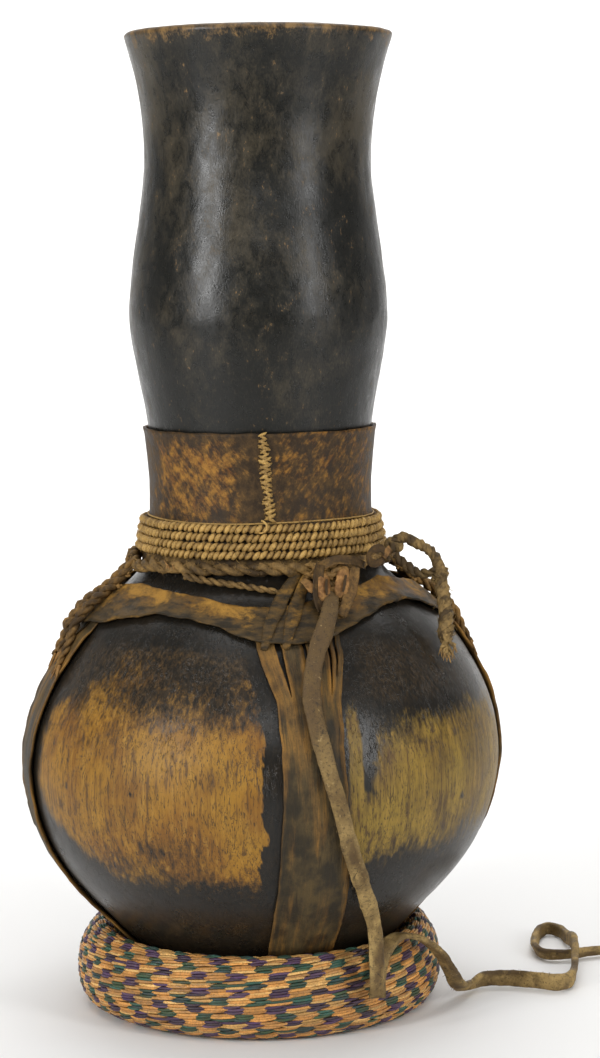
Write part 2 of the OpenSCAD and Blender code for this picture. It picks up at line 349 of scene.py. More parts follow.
def warp_lid(v):
    v = v.copy()
    v[:, 0] += np.interp(v[:, 2] * 1000, [222, 262, 300, 370, 392, 425, 440], [0.2, 0.3, 0.3, 0.4, 0.9, 1.5, 1.6]) * MM
    return v

# ---------------------------------------------------------------------------
# materials
# ---------------------------------------------------------------------------
class Mat:
    """short-hand for a procedural material"""

    def __init__(self, name):
        self.m = bpy.data.materials.new(name)
        self.m.use_nodes = True
        self.t = self.m.node_tree
        self.b = self.t.nodes["Principled BSDF"]
        self.co = self.t.nodes.new("ShaderNodeTexCoord").outputs["Object"]
        a = self.t.nodes.new("ShaderNodeAttribute")
        a.attribute_name = "paint"
        s = self.t.nodes.new("ShaderNodeSeparateColor")
        self.t.links.new(a.outputs["Color"], s.inputs[0])
        self.paint = a.outputs["Color"]
        self.r, self.g, self.bl = s.outputs[0], s.outputs[1], s.outputs[2]

    def put(self, value, socket):
        if isinstance(value, bpy.types.NodeSocket):
            self.t.links.new(value, socket)
        else:
            if socket.type == "RGBA" and len(value) == 3:
                value = (*value, 1.0)
            socket.default_value = value

    def noise(self, scale, detail=3.0, rough=0.55, distort=0.0, vec=None, seed=0.0):
        mp = self.t.nodes.new("ShaderNodeMapping")
        self.put(self.co if vec is None else vec, mp.inputs["Vector"])
        mp.inputs["Scale"].default_value = scale if hasattr(scale, "__len__") else (scale,) * 3
        mp.inputs["Location"].default_value = (seed * 1.37, seed * 2.11, seed * 0.73)
        n = self.t.nodes.new("ShaderNodeTexNoise")
        n.inputs["Scale"].default_value = 1.0
        n.inputs["Detail"].default_value = detail
        n.inputs["Roughness"].default_value = rough
        n.inputs["Distortion"].default_value = distort
        self.t.links.new(mp.outputs[0], n.inputs["Vector"])
        return n.outputs["Fac"]

    def lines(self, scale, width, seed=0.0, distort=0.6, detail=2.0):
        """thin wavy lines where a stretched noise crosses its middle"""
        n = self.noise(scale, detail, 0.5, distort=distort, seed=seed)
        return self.ramp(self.math("ABSOLUTE", self.math("SUBTRACT", n, 0.5)), [(0.0, 1.0), (width, 0.0)])

    def crack(self, scale, width, seed=0.0, rot=(0, 0, 0)):
        """1 on thin lines along the edges of stretched cells"""
        mp = self.t.nodes.new("ShaderNodeMapping")
        self.put(self.co, mp.inputs["Vector"])
        mp.inputs["Rotation"].default_value = rot
        mp.inputs["Scale"].default_value = scale
        mp.inputs["Location"].default_value = (seed, seed * 0.7, seed * 1.3)
        v = self.t.nodes.new("ShaderNodeTexVoronoi")
        v.feature = "DISTANCE_TO_EDGE"
        v.inputs["Scale"].default_value = 1.0
        self.t.links.new(mp.outputs[0], v.inputs["Vector"])
        return self.ramp(v.outputs["Distance"], [(0.0, 1.0), (width, 0.0)])

    def ramp(self, x, stops):
        n = self.t.nodes.new("ShaderNodeMapRange") if len(stops) == 2 and not hasattr(stops[0][1], "__len__") else None
        if n is not None:
            n.interpolation_type = "SMOOTHSTEP"
            self.put(x, n.inputs["Value"])
            n.inputs["From Min"].default_value = stops[0][0]
            n.inputs["From Max"].default_value = stops[1][0]
            n.inputs["To Min"].default_value = stops[0][1]
            n.inputs["To Max"].default_value = stops[1][1]
            return n.outputs["Result"]
        n = self.t.nodes.new("ShaderNodeValToRGB")
        self.put(x, n.inputs["Fac"])
        e = n.color_ramp.elements
        while len(e) < len(stops):
            e.new(0.5)
        for el, (p, c) in zip(e, stops):
            el.position = p
            el.color = (*c, 1.0) if hasattr(c, "__len__") else (c, c, c, 1.0)
        return n.outputs["Color"]

    def math(self, op, a, b=0.0, c=0.0):
        n = self.t.nodes.new("ShaderNodeMath")
        n.operation = op
        self.put(a, n.inputs[0]); self.put(b, n.inputs[1])
        if op == "MULTIPLY_ADD":
            self.put(c, n.inputs[2])
        return n.outputs[0]

    def mix(self, f, a, b, mode="MIX"):
        n = self.t.nodes.new("ShaderNodeMix")
        n.data_type = "RGBA"
        n.blend_type = mode
        self.put(f, n.inputs["Factor"])
        i = [s for s in n.inputs if s.type == "RGBA"]
        self.put(a, i[0]); self.put(b, i[1])
        return [s for s in n.outputs if s.type == "RGBA"][0]

    def bump(self, *layers):
        """layers: (height, strength, distance in metres)"""
        prev = None
        for h, s, d in layers:
            n = self.t.nodes.new("ShaderNodeBump")
            n.inputs["Strength"].default_value = s
            n.inputs["Distance"].default_value = d
            self.put(h, n.inputs["Height"])
            if prev is not None:
                self.t.links.new(prev, n.inputs["Normal"])
            prev = n.outputs["Normal"]
        self.t.links.new(prev, self.b.inputs["Normal"])

    def done(self, color, rough, spec=0.5, coat=None, sheen=None):
        self.put(color, self.b.inputs["Base Color"])
        self.put(rough, self.b.inputs["Roughness"])
        self.b.inputs["Specular IOR Level"].default_value = spec
        if coat:
            self.b.inputs["Coat Weight"].default_value = coat[0]
            self.b.inputs["Coat Roughness"].default_value = coat[1]
        if sheen:
            self.b.inputs["Sheen Weight"].default_value = sheen
            self.b.inputs["Sheen Roughness"].default_value = 0.5
        return self.m


def mat_globe():
    m = Mat("smoked_wood_globe")
    fleck = m.noise((1700, 1700, 260), 2.0, 0.6)
    streak = m.noise((520, 520, 34), 4.0, 0.62, distort=0.3, seed=3)
    broad = m.noise((42, 42, 30), 4.0, 0.6, seed=5)
    fine = m.noise((3200, 3200, 700), 1.0, 0.5, seed=7)
    k = m.math("MULTIPLY_ADD", m.math("SUBTRACT", fleck, 0.5), 0.55, m.r)
    k = m.math("MULTIPLY_ADD", m.math("SUBTRACT", streak, 0.5), 0.85, k)
    k = m.math("MULTIPLY_ADD", m.math("SUBTRACT", broad, 0.5), 0.45, k)
    worn = m.ramp(k, [(0.22, 0.0), (0.80, 1.0)])
    ochre = m.mix(m.g, (0.290, 0.140, 0.014), (0.250, 0.162, 0.024))
    deep = m.mix(m.g, (0.190, 0.080, 0.010), (0.150, 0.094, 0.018))
    ochre = m.mix(m.ramp(broad, [(0.36, 0.0), (0.62, 1.0)]), deep, ochre)
    ochre = m.mix(m.ramp(streak, [(0.50, 0.0), (0.78, 0.45)]), ochre, (0.43, 0.25, 0.052))
    dk = m.ramp(streak, [(0.50, 0.0), (0.33, 0.85)])
    ochre = m.mix(dk, ochre, (0.090, 0.045, 0.014))
    pores = m.ramp(m.math("MULTIPLY_ADD", m.math("SUBTRACT", fine, 0.5), 0.30, fleck), [(0.56, 0.0), (0.68, 0.85)])
    ochre = m.mix(pores, ochre, (0.045, 0.026, 0.012))
    black = m.mix(m.ramp(broad, [(0.42, 0.0), (0.72, 1.0)]), (0.0075, 0.0073, 0.0062), (0.0140, 0.0108, 0.0075))
    mid = m.noise((820, 820, 150), 5.0, 0.66, distort=0.3, seed=11)
    # lighter grey-brown laid over the black wood where the b paint is high: scuffed wood, and over the upper left and
    # upper right a painted highlight
    scuff_sheen_col = m.mix(m.ramp(mid, [(0.36, 0.0), (0.74, 1.0)]), (0.013, 0.0105, 0.0075), (0.100, 0.062, 0.028))
    black = m.mix(m.math("MULTIPLY", m.bl, 0.95), black, scuff_sheen_col)
    part = m.noise((160, 160, 120), 3.0, 0.6, seed=21)
    g1 = m.math("MULTIPLY", m.lines((560, 560, 46), 0.024, seed=31), m.ramp(part, [(0.45, 0.0), (0.60, 1.0)]))
    g2 = m.math("MULTIPLY", m.lines((330, 330, 60), 0.016, seed=37, distort=1.4), m.ramp(part, [(0.55, 0.9), (0.42, 0.0)]))
    g3 = m.math("MULTIPLY", m.lines((60, 60, 420), 0.006, seed=41, distort=0.3), m.ramp(broad, [(0.52, 0.0), (0.66, 0.8)]))
    sc = m.math("MAXIMUM", m.math("MAXIMUM", g1, g2), g3)
    col = m.mix(worn, black, ochre)
    col = m.mix(m.math("MULTIPLY", m.math("MULTIPLY", sc, worn), 0.85), col, (0.030, 0.018, 0.009))
    dim = m.math("MULTIPLY", m.math("MULTIPLY", g3, m.bl), 0.35)
    col = m.mix(dim, col, (0.15, 0.105, 0.055))
    rough = m.ramp(m.math("MULTIPLY_ADD", worn, 0.6, m.math("MULTIPLY", broad, 0.4)), [(0.1, 0.27), (0.95, 0.50)])
    m.bump((fleck, 0.16, 0.0004), (streak, 0.14, 0.0006), (m.math("MULTIPLY", sc, -1.0), 0.35, 0.0004), (m.noise((60, 60, 60), 3, 0.5, seed=9), 0.10, 0.0012))
    return m.done(col, rough, 0.30)


def mat_lid():
    m = Mat("blackened_wood_lid")
    fleck = m.noise((1500, 1500, 700), 3.0, 0.65)
    mott = m.noise((36, 36, 30), 6.0, 0.66, seed=4)
    mid = m.noise((190, 190, 120), 5.0, 0.68, distort=0.4, seed=8)
    speck = m.noise((1100, 1100, 560), 3.0, 0.6, seed=12)
    k = m.math("MULTIPLY_ADD", m.math("SUBTRACT", mid, 0.5), 1.3, m.g)
    k = m.math("MULTIPLY_ADD", m.math("SUBTRACT", mott, 0.5), 1.5, k)
    k = m.math("MULTIPLY_ADD", m.math("SUBTRACT", fleck, 0.5), 0.8, k)
    # brown mottling amount from the g paint; where g is cut back low on the lid, the darker colour there is painted
    # shade
    brown_mottle_and_shade = m.ramp(k, [(0.30, 0.0), (1.10, 1.0)])
    base = m.mix(brown_mottle_and_shade, (0.0078, 0.0078, 0.0062), (0.051, 0.041, 0.0250))
    base = m.mix(m.ramp(fleck, [(0.50, 0.0), (0.75, 0.45)]), base, (0.030, 0.025, 0.017))
    w = m.math("MULTIPLY_ADD", m.math("SUBTRACT", fleck, 0.5), 1.1, m.r)
    w = m.math("MULTIPLY_ADD", m.math("SUBTRACT", mid, 0.5), 1.1, w)
    worn = m.ramp(w, [(0.42, 0.0), (0.95, 1.0)])
    ochre = m.mix(m.ramp(mid, [(0.38, 0.0), (0.65, 1.0)]), (0.075, 0.045, 0.020), (0.215, 0.125, 0.042))
    col = m.mix(worn, base, ochre)
    dots = m.math("MULTIPLY", m.ramp(speck, [(0.58, 0.0), (0.66, 1.0)]), m.ramp(mid, [(0.53, 0.0), (0.70, 1.0)]))
    col = m.mix(m.math("MULTIPLY", dots, 0.75), col, (0.25, 0.145, 0.055))
    rough = m.ramp(m.math("MULTIPLY_ADD", worn, 0.3, mid), [(0.3, 0.25), (0.8, 0.46)])
    m.bump((fleck, 0.20, 0.0004), (m.noise((75, 75, 75), 4, 0.6, seed=2), 0.18, 0.0014), (mid, 0.15, 0.0006))
    return m.done(col, rough, 0.33)


def mat_rawhide():
    m = Mat("rawhide_collar")
    c = m.t.nodes.new("ShaderNodeCombineXYZ")
    m.put(m.g, c.inputs[0]); m.put(m.bl, c.inputs[1]); c.inputs[2].default_value = 0.3
    diag = m.noise((62, 12, 1), 6.0, 0.70, distort=0.4, vec=c.outputs[0], seed=6)
    patch = m.noise((9, 5, 1), 4.0, 0.6, distort=0.6, vec=c.outputs[0], seed=2)
    mid = m.noise((230, 230, 200), 5.0, 0.68, seed=1)
    fine = m.noise(1700, 2.0, 0.6, seed=3)
    k = m.math("MULTIPLY_ADD", m.math("SUBTRACT", diag, 0.5), 1.7, m.r)
    k = m.math("MULTIPLY_ADD", m.math("SUBTRACT", patch, 0.5), 1.2, k)
    k = m.math("MULTIPLY_ADD", m.math("SUBTRACT", mid, 0.5), 0.9, k)
    worn = m.ramp(k, [(0.33, 0.0), (1.02, 1.0)])
    dark = m.mix(m.ramp(mid, [(0.35, 0.0), (0.7, 1.0)]), (0.024, 0.014, 0.006), (0.082, 0.046, 0.015))
    light = m.mix(m.ramp(mid, [(0.35, 0.0), (0.66, 1.0)]), (0.165, 0.062, 0.008), (0.335, 0.160, 0.026))
    col = m.mix(worn, dark, light)
    col = m.mix(m.ramp(fine, [(0.55, 0.0), (0.75, 0.55)]), col, (0.026, 0.016, 0.009))
    rough = m.ramp(mid, [(0.3, 0.42), (0.7, 0.64)])
    m.bump((fine, 0.3, 0.0003), (diag, 0.40, 0.0008), (mid, 0.3, 0.0008))
    return m.done(col, rough, 0.22)


def mat_strap():
    """paint: r wear, g across 0..1, b along in 0..1"""
    m = Mat("dry_hide_strap")
    c = m.t.nodes.new("ShaderNodeCombineXYZ")
    m.put(m.g, c.inputs[0]); m.put(m.bl, c.inputs[1]); c.inputs[2].default_value = 0.3
    streak = m.noise((15, 9, 1), 5.0, 0.62, distort=0.4, vec=c.outputs[0], seed=2)
    fine = m.noise((70, 34, 1), 3.0, 0.6, vec=c.outputs[0], seed=5)
    mott = m.noise((95, 95, 60), 4.0, 0.6, seed=4)
    pore = m.noise(1400, 2.0, 0.6, seed=7)
    k = m.math("MULTIPLY_ADD", m.math("SUBTRACT", streak, 0.5), 1.25, m.r)
    k = m.math("MULTIPLY_ADD", m.math("SUBTRACT", fine, 0.5), 0.55, k)
    worn = m.ramp(k, [(0.25, 0.0), (1.05, 1.0)])
    dark = m.mix(m.ramp(mott, [(0.35, 0.0), (0.65, 1.0)]), (0.022, 0.017, 0.009), (0.080, 0.054, 0.021))
    lit = m.mix(m.ramp(mott, [(0.35, 0.0), (0.7, 1.0)]), (0.115, 0.058, 0.014), (0.290, 0.145, 0.029))
    col = m.mix(worn, dark, lit)
    col = m.mix(m.ramp(pore, [(0.55, 0.0), (0.75, 0.5)]), col, (0.026, 0.018, 0.012))
    col = m.mix(m.ramp(streak, [(0.40, 0.0), (0.28, 0.6)]), col, (0.016, 0.011, 0.007))
    m.bump((pore, 0.3, 0.0003), (streak, 0.5, 0.0009), (mott, 0.3, 0.0014))
    return m.done(col, m.ramp(mott, [(0.3, 0.50), (0.7, 0.74)]), 0.24)


def mat_band():
    """paint: r wear, with a lighter upper edge; g not used"""
    m = Mat("worn_hide_band")
    mott = m.noise((85, 85, 120), 5.0, 0.62, distort=0.6, seed=4)
    streak = m.noise((120, 120, 420), 4.0, 0.6, seed=9)
    pore = m.noise(1500, 2.0, 0.6, seed=7)
    fine2 = m.noise((420, 420, 900), 5.0, 0.68, distort=0.5, seed=14)
    k = m.math("MULTIPLY_ADD", m.math("SUBTRACT", mott, 0.5), 1.5, m.r)
    k = m.math("MULTIPLY_ADD", m.math("SUBTRACT", fine2, 0.5), 1.5, k)
    k = m.math("MULTIPLY_ADD", m.math("SUBTRACT", streak, 0.5), 0.8, k)
    worn = m.ramp(k, [(0.27, 0.0), (1.12, 1.0)])
    dark = m.mix(m.ramp(streak, [(0.35, 0.0), (0.65, 1.0)]), (0.022, 0.016, 0.008), (0.085, 0.050, 0.015))
    lit = m.mix(m.ramp(mott, [(0.40, 0.0), (0.68, 1.0)]), (0.140, 0.066, 0.009), (0.33, 0.172, 0.030))
    col = m.mix(worn, dark, lit)
    col = m.mix(m.ramp(pore, [(0.56, 0.0), (0.76, 0.5)]), col, (0.03, 0.02, 0.013))
    m.bump((pore, 0.3, 0.0003), (mott, 0.5, 0.0015), (streak, 0.35, 0.0006))
    return m.done(col, m.ramp(mott, [(0.3, 0.50), (0.7, 0.72)]), 0.22)


def mat_cord(name, a, b, spec=0.20):
    """twisted hide: paint rgb is the strand's own tint, between 0 and 1 in r; b marks a pale cut end"""
    m = Mat(name)
    mott = m.noise((210, 210, 210), 4.0, 0.65, seed=3)
    fib = m.noise((900, 900, 900), 3.0, 0.7, seed=6)
    broad = m.noise((45, 45, 45), 3.0, 0.5, seed=8)
    k = m.math("MULTIPLY_ADD", m.math("SUBTRACT", mott, 0.5), 1.2, m.r)
    k = m.math("MULTIPLY_ADD", m.math("SUBTRACT", broad, 0.5), 0.9, k)
    col = m.mix(m.ramp(k, [(0.2, 0.0), (0.85, 1.0)]), a, b)
    col = m.mix(m.ramp(fib, [(0.53, 0.0), (0.72, 0.65)]), col, (0.022, 0.015, 0.010))
    col = m.mix(m.bl, col, m.mix(m.ramp(mott, [(0.38, 0.0), (0.64, 1.0)]), (0.125, 0.052, 0.017), (0.40, 0.205, 0.070)))
    m.bump((fib, 0.45, 0.0003), (mott, 0.5, 0.0010))
    return m.done(col, m.ramp(mott, [(0.3, 0.55), (0.7, 0.80)]), spec)


def mat_fibre():
    m = Mat("coiled_plant_fibre")
    fib = m.noise((1500, 1500, 700), 3.0, 0.6, seed=3)
    mott = m.noise((70, 70, 70), 4.0, 0.6, seed=5)
    col = m.mix(m.r, (0.120, 0.066, 0.017), (0.52, 0.320, 0.090))
    col = m.mix(m.ramp(fib, [(0.48, 0.0), (0.72, 0.75)]), col, (0.070, 0.037, 0.013))
    col = m.mix(m.ramp(mott, [(0.50, 0.0), (0.80, 0.45)]), col, (0.090, 0.052, 0.018))
    m.bump((fib, 0.55, 0.0004), (mott, 0.2, 0.0008))
    return m.done(col, m.ramp(fib, [(0.3, 0.48), (0.7, 0.7)]), 0.38)


def mat_thong():
    m = Mat("flat_hide_thong")
    mott = m.noise((150, 150, 150), 5.0, 0.66, seed=3)
    fib = m.noise((1000, 1000, 1000), 3.0, 0.7, seed=6)
    broad = m.noise((38, 38, 38), 3.0, 0.5, seed=8)
    k = m.math("MULTIPLY_ADD", m.math("SUBTRACT", broad, 0.5), 1.0, mott)
    col = m.mix(m.ramp(k, [(0.3, 0.0), (0.75, 1.0)]), (0.155, 0.098, 0.033), (0.420, 0.285, 0.104))
    col = m.mix(m.math("MULTIPLY", m.r, 0.85), col, (0.072, 0.040, 0.014))
    col = m.mix(m.ramp(fib, [(0.52, 0.0), (0.72, 0.75)]), col, (0.032, 0.022, 0.014))
    blot_and_glint = m.noise((330, 330, 330), 5.0, 0.7, distort=0.8, seed=15)
    col = m.mix(m.ramp(blot_and_glint, [(0.56, 0.0), (0.68, 0.8)]), col, (0.026, 0.018, 0.010))
    # pale spots where the blot noise is low: a painted highlight
    col = m.mix(m.ramp(blot_and_glint, [(0.40, 0.0), (0.28, 0.7)]), col, (0.50, 0.35, 0.150))
    m.bump((fib, 0.5, 0.0004), (mott, 0.8, 0.0014), (blot_and_glint, -0.5, 0.0008))
    return m.done(col, m.ramp(mott, [(0.3, 0.58), (0.7, 0.82)]), 0.32)


def mat_straw():
    m = Mat("woven_straw")
    fib = m.noise((1300, 1300, 1300), 2.0, 0.6, seed=3)
    mott = m.noise((200, 200, 260), 3.0, 0.6, seed=5)
    col = m.mix(m.ramp(fib, [(0.42, 0.0), (0.75, 0.55)]), m.paint, (0.10, 0.055, 0.022))
    col = m.mix(m.ramp(mott, [(0.35, 0.30), (0.65, 0.0)]), col, (0.055, 0.030, 0.014))
    m.bump((fib, 0.5, 0.0003), (mott, 0.15, 0.0006))
    return m.done(col, m.ramp(mott, [(0.3, 0.40), (0.7, 0.60)]), 0.45)


def mat_grass_core():
    m = Mat("bundled_grass")
    fib = m.noise((900, 900, 900), 3.0, 0.6, seed=3)
    mott = m.noise((120, 120, 300), 3.0, 0.6, seed=5)
    col = m.mix(m.ramp(mott, [(0.35, 0.0), (0.65, 1.0)]), (0.22, 0.13, 0.045), (0.46, 0.31, 0.12))
    col = m.mix(m.ramp(fib, [(0.5, 0.0), (0.75, 0.6)]), col, (0.09, 0.05, 0.02))
    m.bump((fib, 0.5, 0.0005))
    return m.done(col, m.ramp(mott, [(0.3, 0.5), (0.7, 0.75)]), 0.4)


M_GLOBE = mat_globe()
M_LID = mat_lid()
M_RAWHIDE = mat_rawhide()
M_STRAP = mat_strap()
M_BAND = mat_band()
M_ROPE = mat_cord("twisted_hide_rope", (0.050, 0.030, 0.012), (0.290, 0.175, 0.058))
M_KNOT = mat_cord("knotted_hide", (0.048, 0.028, 0.011), (0.270, 0.150, 0.045))
M_LOOP = mat_cord("hanging_hide_rope", (0.060, 0.038, 0.016), (0.300, 0.195, 0.072))
M_FIBRE = mat_fibre()
M_THONG = mat_thong()
M_STRAW = mat_straw()
M_GRASS = mat_grass_core()


# ---------------------------------------------------------------------------
# more shape helpers
# ---------------------------------------------------------------------------
def lathe_az(mesh, prof, az, disp, col):
    """like lathe, with azimuths of our own (degrees, going round once) and poles at both ends"""
    prof = np.asarray(prof, float)
    n = len(prof); seg = len(az)
    R = np.repeat(prof[:, 0][:, None], seg, 1); Z = np.repeat(prof[:, 1][:, None], seg, 1)
    A = np.repeat(np.asarray(az, float)[None, :], n, 0)
    C = col(A, R, Z)
    R, Z = disp(A, R, Z)
    ar = np.radians(A)
    v = np.stack([R * np.sin(ar), -R * np.cos(ar), Z], -1)
    body = v[1:-1].reshape(-1, 3)
    top = v[0, 0] * [0, 0, 1]; end = v[-1, 0] * [0, 0, 1]
    m = (n - 2) * seg
    k = np.arange(seg); k2 = (k + 1) % seg
    f = grid_faces(n - 2, seg, wrap_v=True, flip=True)
    t1 = np.stack([np.full(seg, m), k2, k], 1)
    b = (n - 3) * seg
    t2 = np.stack([np.full(seg, m + 1), b + k, b + k2], 1)
    c = np.vstack([C[1:-1].reshape(-1, 4), C[0, 0], C[-1, 0]])
    mesh.add(np.vstack([body, top, end]), [f, t1, t2], c)


def thick_sheet(mesh, P, N, T, col, keep=None, wrap_j=False):
    """closed sheet: outer points P[i, j], outward normals N, thickness T[i, j]; keep[i, j] says which cells exist"""
    ni, nj = P.shape[:2]
    cj = nj if wrap_j else nj - 1
    if keep is None:
        keep = np.ones((ni - 1, cj), bool)
    T = np.broadcast_to(np.asarray(T, float), (ni, nj))
    Q = P - N * T[..., None]
    m = ni * nj
    i, j = np.nonzero(keep)
    j2 = (j + 1) % nj
    a, b, c, d = i * nj + j, (i + 1) * nj + j, (i + 1) * nj + j2, i * nj + j2
    nn = np.cross(P[1, 0] - P[0, 0], P[0, 1] - P[0, 0])
    quad = np.stack([a, b, c, d], 1)
    flip = np.dot(nn, N[0, 0]) < 0
    out = quad[:, ::-1] if flip else quad
    inn = out[:, ::-1] + m
    walls = []
    for e0, e1, di, dj in ((a, b, 0, -1), (b, c, 1, 0), (c, d, 0, 1), (d, a, -1, 0)):
        ii = i + di; jj = j + dj
        if wrap_j:
            jj = jj % nj
            gone = (ii < 0) | (ii >= ni - 1)
        else:
            gone = (ii < 0) | (ii >= ni - 1) | (jj < 0) | (jj >= cj)
        inside = ~gone
        edge = gone.copy()
        edge[inside] = ~keep[ii[inside], jj[inside]]
        w = np.stack([e0[edge], e0[edge] + m, e1[edge] + m, e1[edge]], 1)
        walls.append(w[:, ::-1] if flip else w)
    V = np.vstack([P.reshape(-1, 3), Q.reshape(-1, 3)])
    C = np.asarray(col, float).reshape(-1, 4)
    C = np.vstack([C, C])
    F = np.vstack([out, inn] + walls)
    used = np.zeros(len(V), bool); used[F] = True
    new = np.cumsum(used) - 1
    mesh.add(V[used], [new[F]], C[used])


def rgba(r, g=0.0, b=0.0):
    r, g, b = np.broadcast_arrays(np.asarray(r, float), np.asarray(g, float), np.asarray(b, float))
    return np.stack([r, g, b, np.ones_like(r)], -1)


def wrap180(a):
    return (np.asarray(a, float) + 180.0) % 360.0 - 180.0


def plies(mesh, path, r, pitch, count=2, seed=0, tint=0.5, sides=7, rough=0.18, ends=True, phase=0.0, squash_=1.0, step=None):
    """twisted cord of several plies along path (metres); r is the whole cord's radius, one number or one a point"""
    path = np.asarray(path, float)
    length = polyline_length(path)
    st = step or min(0.0016, pitch / 7)
    n = max(6, int(length / st))
    d = np.r_[0, np.cumsum(np.linalg.norm(np.diff(path, axis=0), axis=1))]
    R = np.full(len(path), float(r)) if np.isscalar(r) else np.asarray(r, float)
    s = np.linspace(0, d[-1], n)
    p = np.stack([np.interp(s, d, path[:, k]) for k in range(3)], 1)
    for _ in range(2):
        q = p.copy(); q[1:-1] = (p[:-2] + 2 * p[1:-1] + p[2:]) / 4; p = q
    rr = np.interp(s, d, R)
    t, U, W = frames(p)
    for k in range(count):
        tw = 2 * np.pi * (s / pitch + k / count) + phase
        wob = 0.25 * (fbm(s / pitch * 1.3 + 9 * k, 0.5 + seed, 2, seed + 5 * k) - 0.5)
        off = rr * (0.52 + wob)
        c = p + (np.cos(tw) * off)[:, None] * U + (np.sin(tw) * off * squash_)[:, None] * W
        pr = rr * (0.60 if count == 2 else 0.54) * (1 + 0.35 * (fbm(s / pitch * 2.1, 3.5 + k, 2, seed + 31 * k) - 0.5))
        col = rgba(np.clip(tint + 0.5 * (fbm(s / 0.006, 0.5 + k, 2, seed + 3 * k) - 0.5), 0, 1))
        sweep(mesh, c, pr, sides, col, rough=rough, seed=seed + 7 * k, cap=ends)


def hairs(mesh, pts, nrm, seed, length=0.004, r=0.00016, tint=0.75):
    """short loose fibres standing off a cord"""
    for i, (p, n) in enumerate(zip(pts, nrm)):
        h = [float(_h(np.array(i * 3 + k), np.array(seed), 77)) for k in range(6)]
        n = n / np.linalg.norm(n)
        side_ = np.cross(n, [0.1 + h[0], h[1] - 0.5, h[2] - 0.5]); side_ /= np.linalg.norm(side_) + 1e-9
        L = length * (0.45 + 0.9 * h[3])
        q = [p + n * L * u * (0.35 + 0.3 * h[4]) + side_ * L * u * u * 0.9 + np.array([0, 0, -1]) * L * 0.35 * u * u for u in np.linspace(0, 1, 4)]
        sweep(mesh, np.array(q), np.array([r, r * 0.9, r * 0.7, r * 0.35]), 3, rgba([tint] * 4), cap=True)


# ---------------------------------------------------------------------------
# the carved vessel
# ---------------------------------------------------------------------------
def globe_wear_and_sheen(A, z):
    a = wrap180(A)
    nz = fbm((a + 180) / 2.2, z / 3.2, 3, 11) - 0.5
    nb = fbm((a + 180) / 9.0, z / 11.0, 3, 23) - 0.5
    # left front panel
    low = np.interp(z, [60, 66, 72, 80, 92, 100, 108, 140, 150, 160], [-20, -30, -42, -50, -58, -62, -66, -66, -60, -45])
    right = np.interp(z, [60, 90, 93, 96, 99, 125, 140, 152, 160, 172], [0.3, 0.5, 1.8, 2.0, 0.7, 0.2, 0.6, -1.0, -3.0, -4.5])
    jag = 1.3 * (vnoise(z / 1.7, 0.5, 31) - 0.5) + 1.2 * (vnoise(z / 5.0, 2.5, 37) - 0.5)
    br = np.interp(z + 9 * nb, [56, 64, 72, 80, 90, 100, 130, 137, 143, 150, 160, 166, 172], [0, .15, .32, .49, .68, .92, .90, .70, .48, .33, .26, .19, .04])
    br = br * (0.80 + 0.42 * fbm((a + 180) / 8.0, z / 10.0, 3, 29))
    br = br + 0.34 * window(z, 70, 82, 116, 134) * window(a, -16, -7, 3, 4) + 0.16 * window(z, 96, 108, 122, 132) * window(a, -64, -52, -36, -24)
    w = br * sstep(low - 6 + 9 * nb, low + 6 + 9 * nb, a) * (1 - sstep(right + jag - 0.35, right + jag + 0.35, a))
    # right front panel
    w = np.maximum(w, 0.85 * window(z, 72, 82, 140, 154) * window(a, 20.0, 21.2, 23.6, 24.4))
    w = np.maximum(w, 0.62 * window(z + 14 * nz, 74, 84, 106, 116) * window(a, 20.5, 22, 28, 29))
    zt = 0.13 * (a - 28)
    w = np.maximum(w, (0.62 + 0.42 * fbm((a + 180) / 8.0, z / 9.0, 3, 27)) * window(z + 10 * nb, 66, 104, 128 + zt, 150 + zt) * window(a + 5.0 * nz + 1.5 * (vnoise(z / 9.0, 0.5, 33) - 0.5), 25.5, 29.5, 80, 92) * (0.8 + 0.2 * (z < 130)))
    # the two panels at the back
    w = np.maximum(w, (0.50 + 0.62 * fbm((a + 180) / 8.0, z / 9.0, 3, 43)) * window(z + 26 * nb, 58, 100, 122, 158) * window(a + 12 * nb + 5.0 * nz, 108, 120, 162, 184))
    w = np.maximum(w, (0.50 + 0.62 * fbm((a + 180) / 8.0, z / 9.0, 3, 47)) * window(z + 26 * nb, 58, 98, 124, 160) * window(wrap180(a + 12 * nb + 5.0 * nz) % 360, 200, 214, 250, 272))
    w = w + 0.10 * window(z, 20, 40, 176, 190) * (fbm((a + 180) / 14.0, z / 16.0, 3, 41) > 0.56)
    # small dark knots
    for ka, kz, kr in ((-52, 111, 1.7), (-31, 112, 1.0), (55, 104, 1.4), (141, 100, 1.8), (236, 121, 1.6)):
        d = np.hypot(wrap180(a - ka) * 1.8, (z - kz) * 0.8)
        w = w * (1 - 0.95 * np.exp(-(d / kr) ** 2))
    # third channel: greyer scuffed wood; over the upper left and upper right it is a painted highlight, a lighter
    # grey-brown sheen; a thin arc at the upper left; and a little greyer everywhere, more so low on the globe
    scuff_and_sheen = 0.75 * window(z, 136, 150, 166, 176) * (0.35 + 0.65 * fbm((a + 180) / 7, z / 9, 3, 5)) * window(a, -72, -60, -6, -2)
    scuff_and_sheen = np.maximum(scuff_and_sheen, 0.45 * window(z, 142, 154, 166, 178) * window(a, 22, 34, 80, 90))
    arc = np.exp(-((z - (169 - 0.010 * (a + 28) ** 2)) / 2.2) ** 2) * window(a, -62, -50, -10, -2)
    scuff_and_sheen = np.maximum(scuff_and_sheen, 0.9 * arc)
    scuff_and_sheen = np.maximum(scuff_and_sheen, 0.12 + 0.32 * window(z, 15, 28, 52, 64) * fbm((a + 180) / 9, z / 9, 3, 8))
    g = np.where((a > 10) & (a < 100), 0.95, 0.05) + 0.35 * (fbm((a + 180) / 20, z / 24, 2, 3) - 0.5)
    return np.clip(w, 0, 1), np.clip(g, 0, 1), np.clip(scuff_and_sheen, 0, 1)


